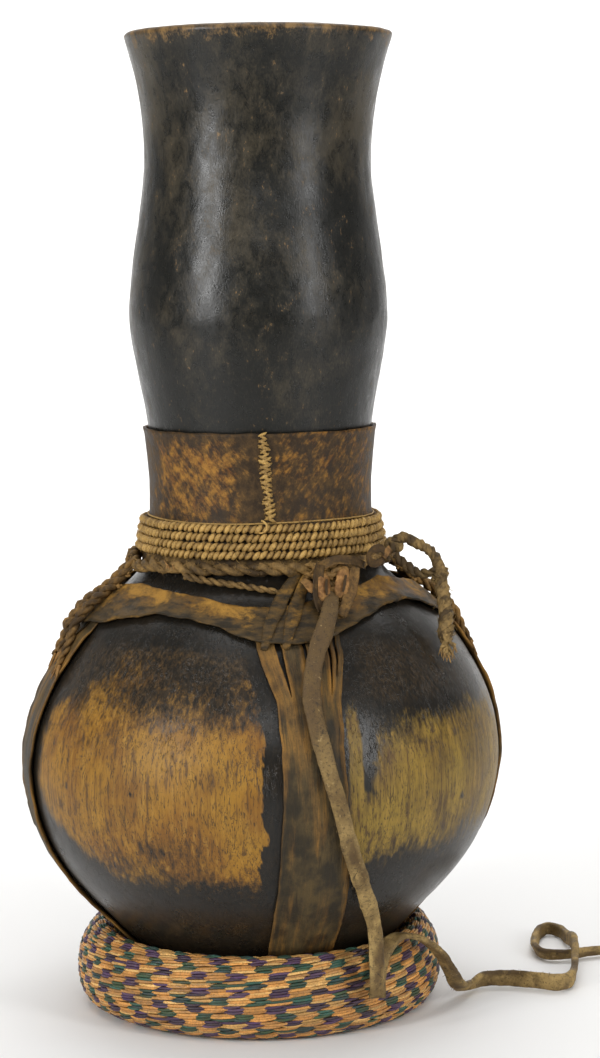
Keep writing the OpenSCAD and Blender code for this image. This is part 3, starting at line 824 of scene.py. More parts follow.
def make_vessel():
    outer = catmull([[0, 7.5], [12, 7.7], [24, 9.9], [36, 15.2], [46, 20.5], [55, 27], [64, 35],
                     [73.4, 45], [82, 54], [91, 65], [98.5, 77.5], [104, 93], [106.5, 110],
                     [104.8, 127], [99.6, 143], [91, 159], [80.5, 174], [70.5, 183.7], [61.5, 190],
                     [54.6, 197], [51.2, 205], [49.8, 214], [48.2, 221]], 8)
    rim = [[47.9, 221.7], [47.2, 222.0], [44.0, 222.05], [40.4, 222.0], [39.6, 221.6]]
    inner = catmull(HOLLOW[::3][:14].tolist() + [[39.5, 221.2]], 2)[::-1]
    prof = np.vstack([outer, rim, inner])
    prof[0, 0] = 0; prof[-1, 0] = 0
    front = np.arange(-84.0, 92.0, 0.5)
    rest = np.linspace(92.0, 276.0, 116)[:-1]
    az = np.r_[front, rest]
    n_out = len(outer)

    def disp(A, R, Z):
        out = (np.arange(len(R)) < n_out)[:, None]
        z = Z
        k = np.where(out, 1.0, 0.6) * sstep(4, 30, R)
        ha = 0.10 * (fbm((wrap180(A) + 180) / 11.25, z / 9.0, 3, 51, px=32) - 0.5) * 2
        tool = 0.22 * (vnoise((wrap180(A) + 180) / 22.5, z / 6.0, 53, px=16) - 0.5) * np.where(out, 0, 1)
        return (R + k * (ha + tool)) * MM, Z * MM

    def col(A, R, Z):
        # the third channel is scuffed wood plus the painted highlight on the upper globe; 0.55 on the inside
        w, g, d = globe_wear_and_sheen(A, Z)
        out = (np.arange(len(R)) < n_out)[:, None]
        return rgba(np.where(out, w, 0.25), np.where(out, g, 0.5), np.where(out, d, 0.55))

    m = Mesh()
    lathe_az(m, prof, az, disp, col)
    m.build("carved_globe", M_GLOBE, "vessel", ["vessel_body"], warp_vessel)


def make_lid():
    outer = catmull([[44.2, 222.9], [45.4, 230], [46.6, 237], [48.4, 248], [49.85, 260], [51.4, 270], [54.4, 286],
                     [56.9, 302], [57.4, 314], [55.9, 332], [53, 352], [50.9, 368], [50.3, 380], [51.1, 396],
                     [53.3, 411], [56.6, 424], [58.9, 431.4]], 7)
    top = catmull([[59.15, 432.6], [58.5, 433.6], [57.3, 434.05], [55.2, 434.3], [49, 434.95], [42.6, 435.5], [33, 436.0], [23.7, 436.4], [11, 436.7], [0, 436.8]], 3)
    inner = catmull([[0, 423], [18, 422.6], [34, 421.5], [42, 415], [44.3, 400], [44.3, 378], [49.8, 340], [50.4, 306], [46, 270], [41.5, 246], [38.4, 223.2]], 5)
    prof = np.vstack([inner, [[38.7, 222.5], [41, 222.4], [43.7, 222.4]], outer, top])
    prof[0, 0] = 0; prof[-1, 0] = 0
    az = np.arange(0, 360, 1.0)
    k0 = len(inner) + 3

    def disp(A, R, Z):
        out = (np.arange(len(R)) >= k0)[:, None]
        k = sstep(262, 275, Z) * (1 - sstep(428, 434, Z)) * out
        lump = 0.35 * (fbm(A / 30.0, Z / 34.0, 3, 61, px=12) - 0.5) * 2
        flat = 0.16 * (fbm(A / 7.5, Z / 9.0, 2, 63, px=48) - 0.5) * 2
        edge = 0.35 * (fbm(A / 12.0, 0.5, 3, 65, px=30) - 0.5) * 2 * window(Z, 426, 432, 434.2, 434.6) * out
        topk = 0.25 * (fbm(A / 15.0, R / 9.0, 3, 67, px=24) - 0.5) * sstep(433.5, 434.5, Z) * sstep(2, 16, R) * out
        return (R + k * (lump + flat) + edge * 0.6) * MM, (Z + edge * 0.5 + topk) * MM

    def col(A, R, Z):
        out = (np.arange(len(R)) >= k0)[:, None]
        rag = 4.2 * (fbm(A / 5.0, 0.5, 3, 71, px=72) - 0.5) * 2
        rim_ = sstep(425.0 + rag, 430.5 + rag, Z) * (0.26 + 0.55 * fbm(A / 9.0, Z / 3.0, 3, 73, px=40))
        edge = window(Z, 431.2, 432.6, 434.1, 434.6) * 0.85
        patch = 0.55 * sstep(0.60, 0.72, fbm(A / 13.0, Z / 15.0, 4, 75)) * window(Z, 262, 280, 418, 430)
        r = np.where(out, np.clip(np.maximum(rim_, edge) + patch * 0.55 + (Z > 434.2) * 0.12, 0, 1), 0.25)
        # g: brown mottling, more from z 330 up; below z 318 it is cut back so the lower lid is painted darker, as shade
        g = np.where(out, 0.06 + 0.75 * fbm(A / 22.5, Z / 30.0, 4, 77, px=16) + 0.24 * sstep(330, 400, Z) - 0.30 * (1 - sstep(262, 318, Z)), 0.8)
        return rgba(r, g, 0)

    m = Mesh()
    lathe_az(m, prof, az, disp, col)
    m.build("lid_cup_body", M_LID, "lid", ["lid_cup"], warp_lid)


# ---------------------------------------------------------------------------
# rawhide collar, its seam, the coiled binding below it
# ---------------------------------------------------------------------------
COLLAR = np.array([[51.15, 206.2], [50.7, 209.5], [50, 213.5], [48.95, 218], [48.1, 223], [48, 230], [48.05, 237], [48.95, 248], [50.2, 260.5]])


def make_collar():
    zz = np.linspace(206.2, 260.5, 40)
    az = np.arange(0, 360, 1.5)
    A, Z = np.meshgrid(az, zz)
    a = wrap180(A)
    R = np.interp(Z, COLLAR[:, 1], COLLAR[:, 0])
    wob = 0.30 * (fbm(A / 15.0, Z / 12.0, 3, 81, px=24) - 0.5) * 2
    seam_a = np.interp(Z, [206, 261], [6.6, 1.6])
    ridge = 0.75 * np.exp(-(wrap180(A - seam_a - 0.9) / 1.3) ** 2) * (0.75 + 0.25 * np.cos(Z * 2 * np.pi / 2.67))
    lip = 0.5 * sstep(257.5, 260.5, Z) * (0.3 + 0.7 * fbm(A / 10.0, 0.5, 3, 83, px=36))
    T = 1.65 + wob * 0.5 + ridge * 0.8
    Ro = R + T + 0.1 + lip
    Zo = Z + sstep(252, 260.5, Z) * (0.9 * (fbm(A / 12.0, 3.5, 3, 85, px=30) - 0.55) - 0.25 * np.exp(-((a - 2) / 3.0) ** 2))
    ar = np.radians(A)
    P = np.stack([Ro * np.sin(ar), -Ro * np.cos(ar), Zo], -1) * MM
    N = np.stack([np.sin(ar), -np.cos(ar), np.zeros_like(ar)], -1)
    w = 0.10 + 0.30 * window(a, -80, -52, -12, -2) * window(Z, 212, 224, 256, 262)
    w = w + 0.24 * window(a, -66, -46, -20, -8) * window(Z, 222, 230, 250, 258)
    w = np.maximum(w, 0.41 * window(a, 5, 9, 70, 90))
    w = np.maximum(w, 0.45 * (np.abs(a) > 92))
    w = w + 0.22 * sstep(258.6, 260.3, Z) * fbm(A / 8.0, 0.5, 3, 89, px=45)
    m = Mesh()
    # slanting coordinates for the scuffs, mirrored behind so that they meet
    da = np.abs(wrap180(A - 184.0)) / 180.0
    thick_sheet(m, P, N, (T - 0.05) * MM, rgba(np.clip(w, 0, 1), da * 1.5 + (Z - 206) / 150.0, (Z - 206) / 55.0 - da * 1.2), wrap_j=True)
    m.build("rawhide_sleeve", M_RAWHIDE, "vessel", ["neck_collar"], warp_vessel)
    # whip stitches over the seam
    m = Mesh()
    for i in range(34):
        z = 223.2 + i * 1.12
        a0 = np.interp(z, [206, 261], [6.6, 1.6])
        jit = [float(_h(np.array(i), np.array(5), 91 + q)) for q in range(4)]
        u = np.linspace(-1, 1, 7)
        lean = (1 if i % 2 else -1) * (0.8 + 0.7 * jit[0])
        aa = a0 + 0.4 + 0.8 * (jit[1] - 0.5) + u * (1.9 + 1.0 * jit[2])
        zz_ = z + u * lean + 0.5 * (jit[3] - 0.5)
        rr = np.interp(zz_, COLLAR[:, 1], COLLAR[:, 0]) + 1.9 + (1.0 + 0.5 * jit[1]) * np.sqrt(np.clip(1 - u * u, 0, 1)) - 0.3
        sweep(m, polar(rr, aa, zz_), np.array([0.3, 0.55, 0.72, 0.78, 0.72, 0.55, 0.3]) * MM * (0.8 + 0.4 * jit[2]), 6,
              rgba(np.full(7, 0.35 + 0.6 * jit[3])), rough=0.2, seed=i, flat=0.85)
    # a loose curl of sinew under the seam
    u = np.linspace(0, 1, 22)
    p = polar(53.2 + 1.6 * np.sin(u * 5.0), 1.2 + 2.6 * np.sin(u * 6.5) * (1 - 0.4 * u), 221.8 - 5.2 * u + 1.4 * np.cos(u * 7))
    sweep(m, p, np.linspace(0.50, 0.25, 22) * MM, 6, rgba(np.full(22, 0.9), 0, np.full(22, 0.65)), rough=0.2)
    m.build("sleeve_whip_stitches", M_FIBRE, "vessel", ["collar_seam_stitches"], warp_vessel)


def make_binding():
    for row in range(4):
        z = 219.35 - 3.75 * row
        rc = float(np.interp(z, [206, 209.5, 213.5, 218, 223], [52.95, 52.5, 51.8, 50.75, 49.9])) + 2.0
        m = Mesh()
        az = np.arange(0, 360, 3.0)
        sweep(m, polar(rc - 0.45, az, z), 1.25 * MM, 8, rgba(np.full(len(az), 0.05)), closed=True)
        n = 118 + (row % 2)
        k = np.arange(n)
        h1 = _h(k, k * 0 + row, 93); h2 = _h(k, k * 0 + row, 94); h3 = _h(k, k * 0 + row, 95); h4 = _h(k, k * 0 + row, 96)
        a = (k + 0.5 * (row % 2) + 0.22 * (h1 - 0.5)) * 360.0 / n
        for i in range(n):
            # one slanted wrap: a fat half-loop over the coil, pinched at both ends; its colour is painted darker at
            # both ends as shade in the grooves and lighter on its crown as painted light
            u = np.linspace(-1, 1, 8)
            slant = (0.55 + 0.25 * (h2[i] - 0.5)) * (360.0 / n)
            aa = a[i] + u * slant
            th = u * 1.45
            hh = 1.92 + 0.12 * (h4[i] - 0.5)
            zz_ = z + 0.35 * (vnoise(np.array(i / 5.0), np.array(row + 7.5), 90) - 0.5) * 2 + hh * 0.62 * np.sin(th) * 1.22
            rr = rc - 0.55 + 1.42 * np.cos(th)
            rad = np.array([0.50, 0.84, 1.02, 1.12, 1.12, 1.02, 0.84, 0.50]) * (1.0 + 0.30 * (h3[i] - 0.5)) * MM
            tone = np.clip(0.38 + 0.62 * h3[i] * (0.5 + 0.5 * h1[i]) + 0.35 * (vnoise(np.array(i / 7.0), np.array(row + 0.5), 97) - 0.5), 0, 1)
            wrap_lit_shaded_tone = rgba(tone * np.array([0.35, 0.75, 1, 1.1, 1.1, 1, 0.75, 0.35]))
            sweep(m, polar(rr, aa, zz_), rad, 6, wrap_lit_shaded_tone, cap=True, rough=0.06, seed=i)
        if row == 0:
            # the single strand that starts the coil
            aa = np.linspace(0, 360, 240, endpoint=False)
            zt = 221.5 + 0.35 * np.sin(np.radians(aa) * 3) + 0.25 * (fbm(aa / 9.0, 0.5, 2, 98, px=40) - 0.5)
            sweep(m, polar(np.interp(zt, COLLAR[:, 1], COLLAR[:, 0]) + 2.2, aa, zt), 0.42 * MM, 6,
                  rgba(0.5 + 0.3 * fbm(aa / 6.0, 0.5, 2, 99, px=60)), closed=True)
        kk = np.arange(150)
        ha = 360 * _h(kk, kk * 0 + row, 121); th = (_h(kk, kk * 0 + row, 122) - 0.5) * 2.4
        hairs(m, polar(rc + 1.7 * np.cos(th), ha, z + 1.8 * np.sin(th)), polar(np.cos(th), ha, np.sin(th)) / MM, 123 + row, 0.0022, 0.00011, 0.8)
        m.build("binding_coil_%d" % (row + 1), M_FIBRE, "vessel", ["binding_row_%d" % (row + 1)], warp_vessel)


# ---------------------------------------------------------------------------
# hide harness
# ---------------------------------------------------------------------------
def rope_z(az):
    a = wrap180(az)
    return 202.5 - 2.6 * np.exp(-((a + 70) / 12.0) ** 2) - 0.9 * np.exp(-((a - 20) / 14.0) ** 2) + 0.4 * np.sin(np.radians(a) * 3)


def make_neck_rope():
    m = Mesh()
    az = np.linspace(0, 360, 361)
    R = 57.5 + 0.35 * np.sin(np.radians(az) * 5)
    plies(m, polar(R, az, rope_z(az)), (2.45 + 0.6 * fbm(az / 12.0, 0.5, 3, 9, px=30)) * MM, 0.0150, 2, seed=3, tint=0.5, sides=8, rough=0.3)
    # second cord, splitting off at the left and running down to the knot
    az2 = np.linspace(-34, 17, 50)
    u = np.linspace(0, 1, 50)
    z2 = np.interp(u, [0, 0.25, 0.5, 0.8, 1], [199.0, 197.3, 195.8, 193.2, 189.8])
    r2 = np.interp(z2, WOOD[3:, 1], WOOD[3:, 0]) + 2.0 + 3.2 * (1 - u) ** 1.5
    plies(m, polar(r2, az2, z2), np.linspace(1.7, 1.25, 50) * MM, 0.009, 2, seed=13, tint=0.6, rough=0.2)
    # a third thin strand along the top at the right
    az3 = np.linspace(20, 100, 80)
    plies(m, polar(58.4 + 0.4 * np.sin(az3 / 6), az3, 203.2 + 0.5 * np.sin(az3 / 9)), 0.9 * MM, 0.006, 2, seed=15, tint=0.7, rough=0.2)
    # the sleeve's own turned-under skirt, seen between the coil and the rope
    A, Z = np.meshgrid(np.arange(0, 360, 2.5), np.linspace(199.6, 207.6, 9))
    off = 1.35 + 0.45 * (fbm(A / 10.0, Z / 3.0, 3, 131, px=36) - 0.5) * 2 - 0.5 * (1 - sstep(199.6, 201.5, Z))
    P = surf(A, Z, off)
    N = surf(A, Z, off + 1.0) - P
    N /= np.linalg.norm(N, axis=-1)[..., None]
    thick_sheet(m, P, N, 1.0 * MM, rgba(0.22 + 0.45 * fbm(A / 7.5, Z / 4.0, 3, 133, px=48)), wrap_j=True)
    # frayed end
    for i, (a, s) in enumerate(((-41, 1.0), (-38.5, 0.7), (-43, 0.6))):
        u = np.linspace(0, 1, 7)
        sweep(m, polar(59.6 + 1.2 * u, a + 2 * u * (i - 1), 201.6 + 3.6 * s * u), np.linspace(0.55, 0.2, 7) * MM, 5, rgba(np.full(7, 0.9), 0, np.full(7, 0.55)), rough=0.2)
    k = np.arange(420)
    ha = 360 * _h(k, k * 0, 101); hz = _h(k, k * 0 + 1, 102)
    th = (hz - 0.35) * 2.2
    pts = polar(57.6 + 2.6 * np.cos(th), ha, rope_z(ha) + 2.6 * np.sin(th))
    nrm = polar(np.cos(th), ha, np.sin(th)) / MM
    hairs(m, pts, nrm, 103, 0.0030, 0.00013)
    m.build("neck_hide_rope", M_ROPE, "vessel", ["neck_rope"], warp_vessel)


BAND_AZ = [-94, -78, -59, -44, -23, -7, 0, 11, 23, 39, 59, 80]
BAND_TOP = [188, 188.6, 191.6, 190.7, 188.9, 185.8, 185.3, 185.5, 187.8, 191, 194, 190]
BAND_AZB = [-94, -78, -62, -49, -39, -27, -14, -7, 1, 12, 21.5, 27, 37, 49, 63, 71, 84]
BAND_BOT = [172.6, 172.8, 176, 179.6, 182, 181.5, 179.2, 175.6, 172.5, 172.2, 174.5, 177, 180.7, 184, 184.4, 182.6, 175]


def band_edges(az):
    a = wrap180(az)
    top = np.interp(a, BAND_AZ, BAND_TOP); bot = np.interp(a, BAND_AZB, BAND_BOT)
    # behind, the same rise and fall between the straps
    b = (np.asarray(az, float) - 12.0) % 90.0
    sag = np.cos(np.radians(b * 4))
    back = (a > 80) | (a < -94)
    wl = np.clip(np.minimum(np.abs(wrap180(az - 80)), np.abs(wrap180(az + 94))) / 10.0, 0, 1)
    tb = 189.2 - 2.6 * sag; bb = 178.2 - 5.4 * sag
    top = np.where(back, top * (1 - wl) + tb * wl, top); bot = np.where(back, bot * (1 - wl) + bb * wl, bot)
    wig = 0.55 * (fbm(np.asarray(az, float) % 360 / 6.0, 0.5, 3, 111, px=60) - 0.5) * 2
    wig2 = 0.75 * (fbm(np.asarray(az, float) % 360 / 5.0, 7.5, 3, 113, px=72) - 0.5) * 2
    return top + wig, bot + wig2


def make_band():
    az = np.arange(0, 360, 0.9)
    top, bot = band_edges(az)
    nv = 15
    v = np.linspace(0, 1, nv)
    Z = bot[None, :] + v[:, None] * (top - bot)[None, :]
    A = np.repeat(az[None, :], nv, 0)
    a = wrap180(A)
    # lifts at the top edge, rolls slightly at the bottom, and rides over the straps
    over = np.zeros_like(A)
    for c in (11.5, 102, 192, 282):
        over = np.maximum(over, window(wrap180(A - c), -17, -12, 12, 17))
    V = v[:, None] + 0 * A
    off = 2.0 + 1.0 * over * (1 - V * 0.6) + 0.95 * V ** 3 + 0.7 * (1 - V) ** 4 + 0.55 * (fbm(A / 9.0, Z / 4.0, 3, 115, px=40) - 0.5) * 2 * (0.4 + 0.6 * V)
    P = surf(A, Z, off)
    Q = surf(A, Z, off + 1.0)
    N = (Q - P) / np.linalg.norm(Q - P, axis=-1)[..., None]
    T = (1.35 - 0.55 * np.abs(V - 0.5) * 2) * MM
    left = window(a, -96, -90, -12, -2); right = window(a, 24, 30, 84, 94)
    patches = fbm(A / 12.0, 0.5, 3, 117, px=30)
    w = 0.19 + 0.35 * sstep(0.42, 0.6, patches) * sstep(0.15, 0.5, V)
    w = w + left * (0.30 * sstep(0.30, 0.80, V) * (0.5 + patches)) + right * (0.64 * sstep(0.15, 0.65, V) * (0.45 + patches))
    w = w + 0.42 * sstep(0.90, 0.97, V) + 0.16 * (1 - sstep(0.02, 0.10, V))
    w = w * (1 - 0.55 * window(a, -6, 0, 20, 25) * (1 - sstep(0.6, 0.9, V)))
    m = Mesh()
    thick_sheet(m, P, N, T, rgba(np.clip(w, 0, 1)), wrap_j=True)
    m.build("shoulder_band", M_BAND, "vessel", ["shoulder_ring"], warp_vessel)


def prof_at(s, off):
    """radius and height on the wood's outline at length s (mm), moved off outwards"""
    r = np.interp(s, WOOD_S, WOOD[:, 0]); z = np.interp(s, WOOD_S, WOOD[:, 1])
    nr = np.interp(s, WOOD_S, WOOD_N[:, 0]); nz = np.interp(s, WOOD_S, WOOD_N[:, 1])
    l = np.hypot(nr, nz)
    return r + nr / l * off, z + nz / l * off, nr / l, nz / l


def make_strap(name, node, centre, seed, fingers, slits, tw, bw):
    """fingers: cuts (u, z of the cut's end, gap at the top mm); tw: not used; bw: half widths against height"""
    s_top = float(np.interp(176.5, WOOD[:, 1], WOOD_S)); s_end = float(np.interp(24.6, WOOD[:40, 0], WOOD_S[:40]))
    ns = 130
    s = np.linspace(s_top, s_end, ns)
    cuts = sorted(f[0] for f in fingers)
    base = np.linspace(-1, 1, 23)
    extra = []
    for c in cuts + [q[0] for q in slits]:
        extra += [c - 0.012, c + 0.012]
    u = np.array([b for b in base if all(abs(b - e) > 0.03 for e in extra)] + extra)
    u.sort()
    r0, z0, _, _ = prof_at(s, 0)
    cz = np.interp(z0, *centre)
    hw = np.interp(z0, *bw)
    hwl = hw + 0.55 * (fbm(z0 / 7.0, 0.5, 3, seed) - 0.5) * 2; hwr = hw + 0.55 * (fbm(z0 / 7.0, 5.5, 3, seed + 1) - 0.5) * 2
    U, S = np.meshgrid(u, s)
    Zr = np.repeat(z0[:, None], len(u), 1)
    Wd = np.where(U < 0, U * hwl[:, None], U * hwr[:, None])
    keep = np.ones((ns - 1, len(u) - 1), bool)
    edge_near = np.exp(-((1 - np.abs(U)) / 0.10) ** 2)
    for (c, ze, gap) in list(fingers):
        open_ = np.clip((Zr - ze) / max(1.0, 170 - ze), 0, 1) ** 0.8 * gap
        open_ = open_ * (0.8 + 0.4 * vnoise(Zr / 3.0, 0.5 + c, seed + 3))
        Wd = Wd + np.where(U > c, 0.5, -0.5) * open_ * (1 - 0.55 * np.abs(U - c)) 
        j = int(np.argmin(np.abs((u[:-1] + u[1:]) / 2 - c)))
        keep[:, j] &= ~(z0[:-1] > ze)
        edge_near = np.maximum(edge_near, np.exp(-((U - c) / 0.085) ** 2) * sstep(ze - 1, ze + 4, Zr))
    for (c, za, zb, gap) in slits:
        mid = (za + zb) / 2; hl = abs(zb - za) / 2
        open_ = np.sqrt(np.clip(1 - ((Zr - mid) / hl) ** 2, 0, 1)) * gap
        Wd = Wd + np.where(U > c, 0.5, -0.5) * open_ * (1 - np.clip(np.abs(U - c) * 2.2, 0, 1))
        j = int(np.argmin(np.abs((u[:-1] + u[1:]) / 2 - c)))
        keep[:, j] &= ~((z0[:-1] < max(za, zb)) & (z0[:-1] > min(za, zb)))
        edge_near = np.maximum(edge_near, 0.7 * np.exp(-((U - c) / 0.06) ** 2) * (np.abs(Zr - mid) < hl))
    nz_ = fbm(U * 3.0 + 9, Zr / 9.0, 3, seed + 5) - 0.5
    tuck = sstep(168.5, 174.0, Zr)
    T = 1.55 + 0.3 * nz_
    off = 0.30 + T + 1.15 * edge_near * (0.35 + 0.65 * fbm(Zr / 6.0, U * 2, 2, seed + 7)) * (1 - tuck) + 0.5 * np.abs(nz_)
    off = off - 0.9 * tuck
    off = off + 0.35 * (1 - U * U)
    T = T - 0.5 * edge_near - 0.5 * tuck
    rr, zz_, nr, nz2 = prof_at(S, off)
    AZ = cz[:, None] + np.degrees(Wd / np.maximum(rr, 8.0))
    ar = np.radians(AZ)
    P = np.stack([rr * np.sin(ar), -rr * np.cos(ar), zz_], -1) * MM
    N = np.stack([nr * np.sin(ar), -nr * np.cos(ar), nz2], -1)
    st = fbm(U * 4.5 + 20, Zr / 26.0, 3, seed + 9)
    w = 0.20 + 0.34 * sstep(0.45, 0.68, st) + 0.42 * edge_near
    w = w + 0.16 * window(Zr, 120, 140, 168, 174) + 0.12 * (1 - sstep(35, 85, Zr))
    paint = rgba(np.clip(w, 0, 1), (U + 1) / 2, (Zr - 5) / 170.0)
    m = Mesh()
    thick_sheet(m, P, N, T * MM, paint, keep=keep)
    m.build(name, M_STRAP, "vessel", [node], warp_vessel)


def make_straps():
    bwf = ([20, 34, 60, 80, 128, 152, 160, 165, 172], [14.5, 14.5, 15.5, 15.3, 13.3, 13.9, 15.6, 16.6, 17.0])
    make_strap("strap_front_hide", "strap_front", ([8, 34, 60, 90, 128, 152, 165, 172], [13, 15.2, 14, 13, 12, 11.6, 11.2, 11]), 201,
               [(-0.50, 152.5, 2.4), (0.10, 150.0, 1.3), (0.70, 153.0, 1.0), (0.84, 160.0, 1.0)], [], None, bwf)
    bw = ([20, 34, 60, 80, 128, 152, 165, 172], [14.3, 14.3, 15.2, 15.0, 13.6, 14.2, 16.0, 16.4])
    make_strap("strap_right_hide", "strap_right", ([8, 60, 100, 172], [102, 103, 101.5, 102]), 231,
               [(-0.40, 155.0, 2.0), (0.42, 158.0, 1.6)], [(0.1, 60, 74, 1.2)], None, bw)
    make_strap("strap_back_hide", "strap_back", ([8, 60, 100, 172], [192, 191, 192.6, 192]), 261,
               [(-0.55, 154.0, 1.6), (0.05, 151.0, 1.8), (0.55, 157.0, 1.4)], [], None, bw)
    make_strap("strap_left_hide", "strap_left", ([8, 60, 100, 172], [282, 281.6, 282.4, 282]), 291,
               [(-0.35, 156.0, 1.8), (0.45, 153.0, 2.0)], [(-0.1, 84, 96, 1.0)], None, bw)
    # leather disc under the base, its edge scalloped where the straps are sewn to it
    az = np.arange(0, 360, 3.0)
    rr = np.array([0.8, 3, 6, 10, 14, 18, 20.5, 22, 23.2])
    A, R = np.meshgrid(az, rr)
    R = R * (1 + 0.03 * sstep(12, 23, R) * np.cos(np.radians(A - 12) * 4)) * (1 - 0.012 * vnoise(A / 7.5, 0.5, 305, px=48))
    z = np.interp(R, WOOD[:60, 0], WOOD[:60, 1]) - 2.0 - 0.25 * fbm(A / 20, R / 4, 3, 307, px=18)
    ar = np.radians(A)
    P = np.stack([R * np.sin(ar), -R * np.cos(ar), z], -1) * MM
    N = np.zeros_like(P); N[..., 2] = -1
    m = Mesh()
    thick_sheet(m, P, N, (1.75 - 0.5 * sstep(20, 23, R)) * MM, rgba(0.25 + 0.5 * fbm(A / 15, R / 6, 3, 309, px=24), 0.5 + 0.4 * np.sin(ar), R / 24), wrap_j=True)
    for k in range(24):
        a = k * 15.0 + 4
        u = np.linspace(-1, 1, 7)
        rad = 20.3 + 1.9 * u
        zz_ = np.interp(rad, WOOD[:60, 0], WOOD[:60, 1]) - 2.35 - 0.55 * np.sqrt(1 - u * u * 0.98)
        sweep(m, polar(rad, a + 1.6 * u, zz_), np.array([.35, .5, .55, .6, .55, .5, .35]) * MM, 6, rgba(np.full(7, 0.75), 0.5, 0.5), rough=0.1, seed=k)
    m.build("base_disc", M_STRAP, "vessel", ["base_patch"], warp_vessel)


def lace_path(a0, a1, bulge=0.0, low=160.0):
    z = np.array([low, 166, 171, 179.5, 188])
    off = np.array([3.1, 4.0, 5.6, 5.8, 5.2]) + bulge
    a = np.linspace(a0, a1, 5)
    p = surf(a, z, off)
    q = polar(61.0 + bulge * 0.4, a1, 198.8)
    end = polar(59.5, a1 + 0.4 * (a1 - a0), 202.4)
    return catmull(np.vstack([p, q, end]), 10)


def make_lacings():
    sets = (("front", 12, [(-9.6, -8.4, 0.0, 161), (-3.0, -4.2, 0.3, 163)]),
            ("right", 102, [(-6.5, -3.5, 0.1, 158), (0.6, -0.4, 0.5, 162), (6.0, 4.0, 0.0, 157)]),
            ("back", 192, [(-6.0, -4.0, 0.2, 160), (-0.5, 0.8, 0.4, 156), (6.5, 4.2, 0.1, 162)]),
            ("left", 282, [(-6.8, -3.0, 0.3, 157), (0.3, 0.0, 0.6, 160), (6.4, 4.4, 0.2, 155)]))
    for k, (name, az, strands) in enumerate(sets):
        m = Mesh()
        for i, (b0, b1, bulge, low) in enumerate(strands):
            if name == "front":
                # two flat hide strips drawn over the band to the knot
                zc = np.array([170.5, 174.0, 178.0, 182.5, 187.5, 193.0, 198.5])
                ac = np.interp(zc, [170, 180, 188, 199], [[0.5, 3.0, 8.5, 17.0], [6.5, 9.5, 14.5, 22.0]][i])
                oc = np.array([1.6, 3.6, 4.0, 4.1, 4.3, 4.9, 5.8]) + 0.2 * i
                q = surf(ac, zc, oc) / MM
                nn_ = np.array([[math.sin(math.radians(b)), -math.cos(math.radians(b)), 0.6] for b in ac])
                strip(m, q, nn_, [3.0, 4.6, 6.0, 6.4, 5.6, 4.6, 3.6], 0.9, 0.34 + 0.12 * i, 0.0, 331 + i, cols=9, curl=-0.5)
                continue
            p = lace_path(az + b0, az + b1, bulge, low)
            n = len(p)
            r = np.interp(np.linspace(0, 1, n), [0, 0.12, 0.3, 0.75, 1], [1.2, 1.9, 2.25, 2.25, 1.7]) * MM
            plies(m, p, r, 0.0105, 2, seed=311 + 9 * k + i, tint=0.5, rough=0.25, phase=1.7 * i)
            # frayed lower end
            for j in range(4):
                u = np.linspace(0, 1, 6)
                a = az + b0 + (j - 1.5) * 0.9 + u * (j - 1.5) * 1.4
                sweep(m, surf(a, low + 1.0 - (4.5 + 1.5 * (j % 2)) * u, 3.3 - 0.6 * u), np.linspace(0.7, 0.25, 6) * MM, 5,
                      rgba(np.full(6, 0.75), 0, np.full(6, 0.35)), rough=0.2, seed=j)
        # cross wraps that gather the strands where they pass the band
        for j, zc in enumerate((189.5, 193.0, 196.2)[: (0 if name == "front" else 3)]):
            w0, w1 = (-10.5, -2.5) if name == "front" else (-6.2, 6.2)
            u = np.linspace(0, 1, 26)
            aa = az + w0 + (w1 - w0) * u
            zz_ = zc + 1.2 * np.sin(u * 3.1 + j) + (u - 0.5) * 2.2 * (-1) ** j
            rr = np.interp(zz_, WOOD[3:, 1], WOOD[3:, 0]) + 5.2 + 2.6 * np.sin(np.pi * u) ** 0.5
            plies(m, polar(np.maximum(rr, 61.5 + 2.4 * np.sin(np.pi * u)), aa, zz_), 1.35 * MM, 0.007, 2, seed=341 + 7 * k + j, tint=0.6, rough=0.25)
        m.build("lacing_%s_cords" % name, M_BAND if name == "front" else M_KNOT, "vessel", ["lacing_%s" % name], warp_vessel)


def strip(mesh, pts, up, width, thick, tint, blaze=0.0, seed=0, cols=7, curl=0.0):
    """short strip of hide along pts (mm control points), up = outward direction, width one a point"""
    p = resample(catmull(np.asarray(pts, float), 8), count=26)
    n = len(p)
    t = np.gradient(p, axis=0); t /= np.linalg.norm(t, axis=1)[:, None]
    up = np.asarray(up, float)
    if up.ndim == 2:
        k = np.linspace(0, 1, len(up))
        up = np.stack([np.interp(np.linspace(0, 1, n), k, up[:, c]) for c in range(3)], 1)
    else:
        up = np.tile(up, (n, 1))
    nn = up - t * np.sum(up * t, 1)[:, None]; nn /= np.linalg.norm(nn, axis=1)[:, None]
    sd = np.cross(t, nn)
    w = np.interp(np.linspace(0, 1, n), np.linspace(0, 1, len(width)), width)
    u = np.linspace(-1, 1, cols)
    U, I = np.meshgrid(u, np.arange(n))
    wob = 1 + 0.16 * (fbm(I / 4.0, U + 4, 2, seed) - 0.5) * 2
    P = p[:, None, :] + sd[:, None, :] * (U * w[:, None] * 0.5 * wob)[..., None] + nn[:, None, :] * (thick / 2 + curl * U ** 2 + 0.25 * (fbm(I / 5.0, U * 2, 2, seed + 2) - 0.5))[..., None]
    N = np.repeat(nn[:, None, :], cols, 1)
    T = thick * (1 - 0.45 * U ** 2) * MM
    bl = blaze if np.isscalar(blaze) else np.interp(I / (n - 1), np.linspace(0, 1, len(blaze)), blaze)
    thick_sheet(mesh, P * MM, N, T, rgba(tint + 0.3 * (fbm(I / 5.0, U * 2, 2, seed + 4) - 0.5), 0, bl + 0 * U))


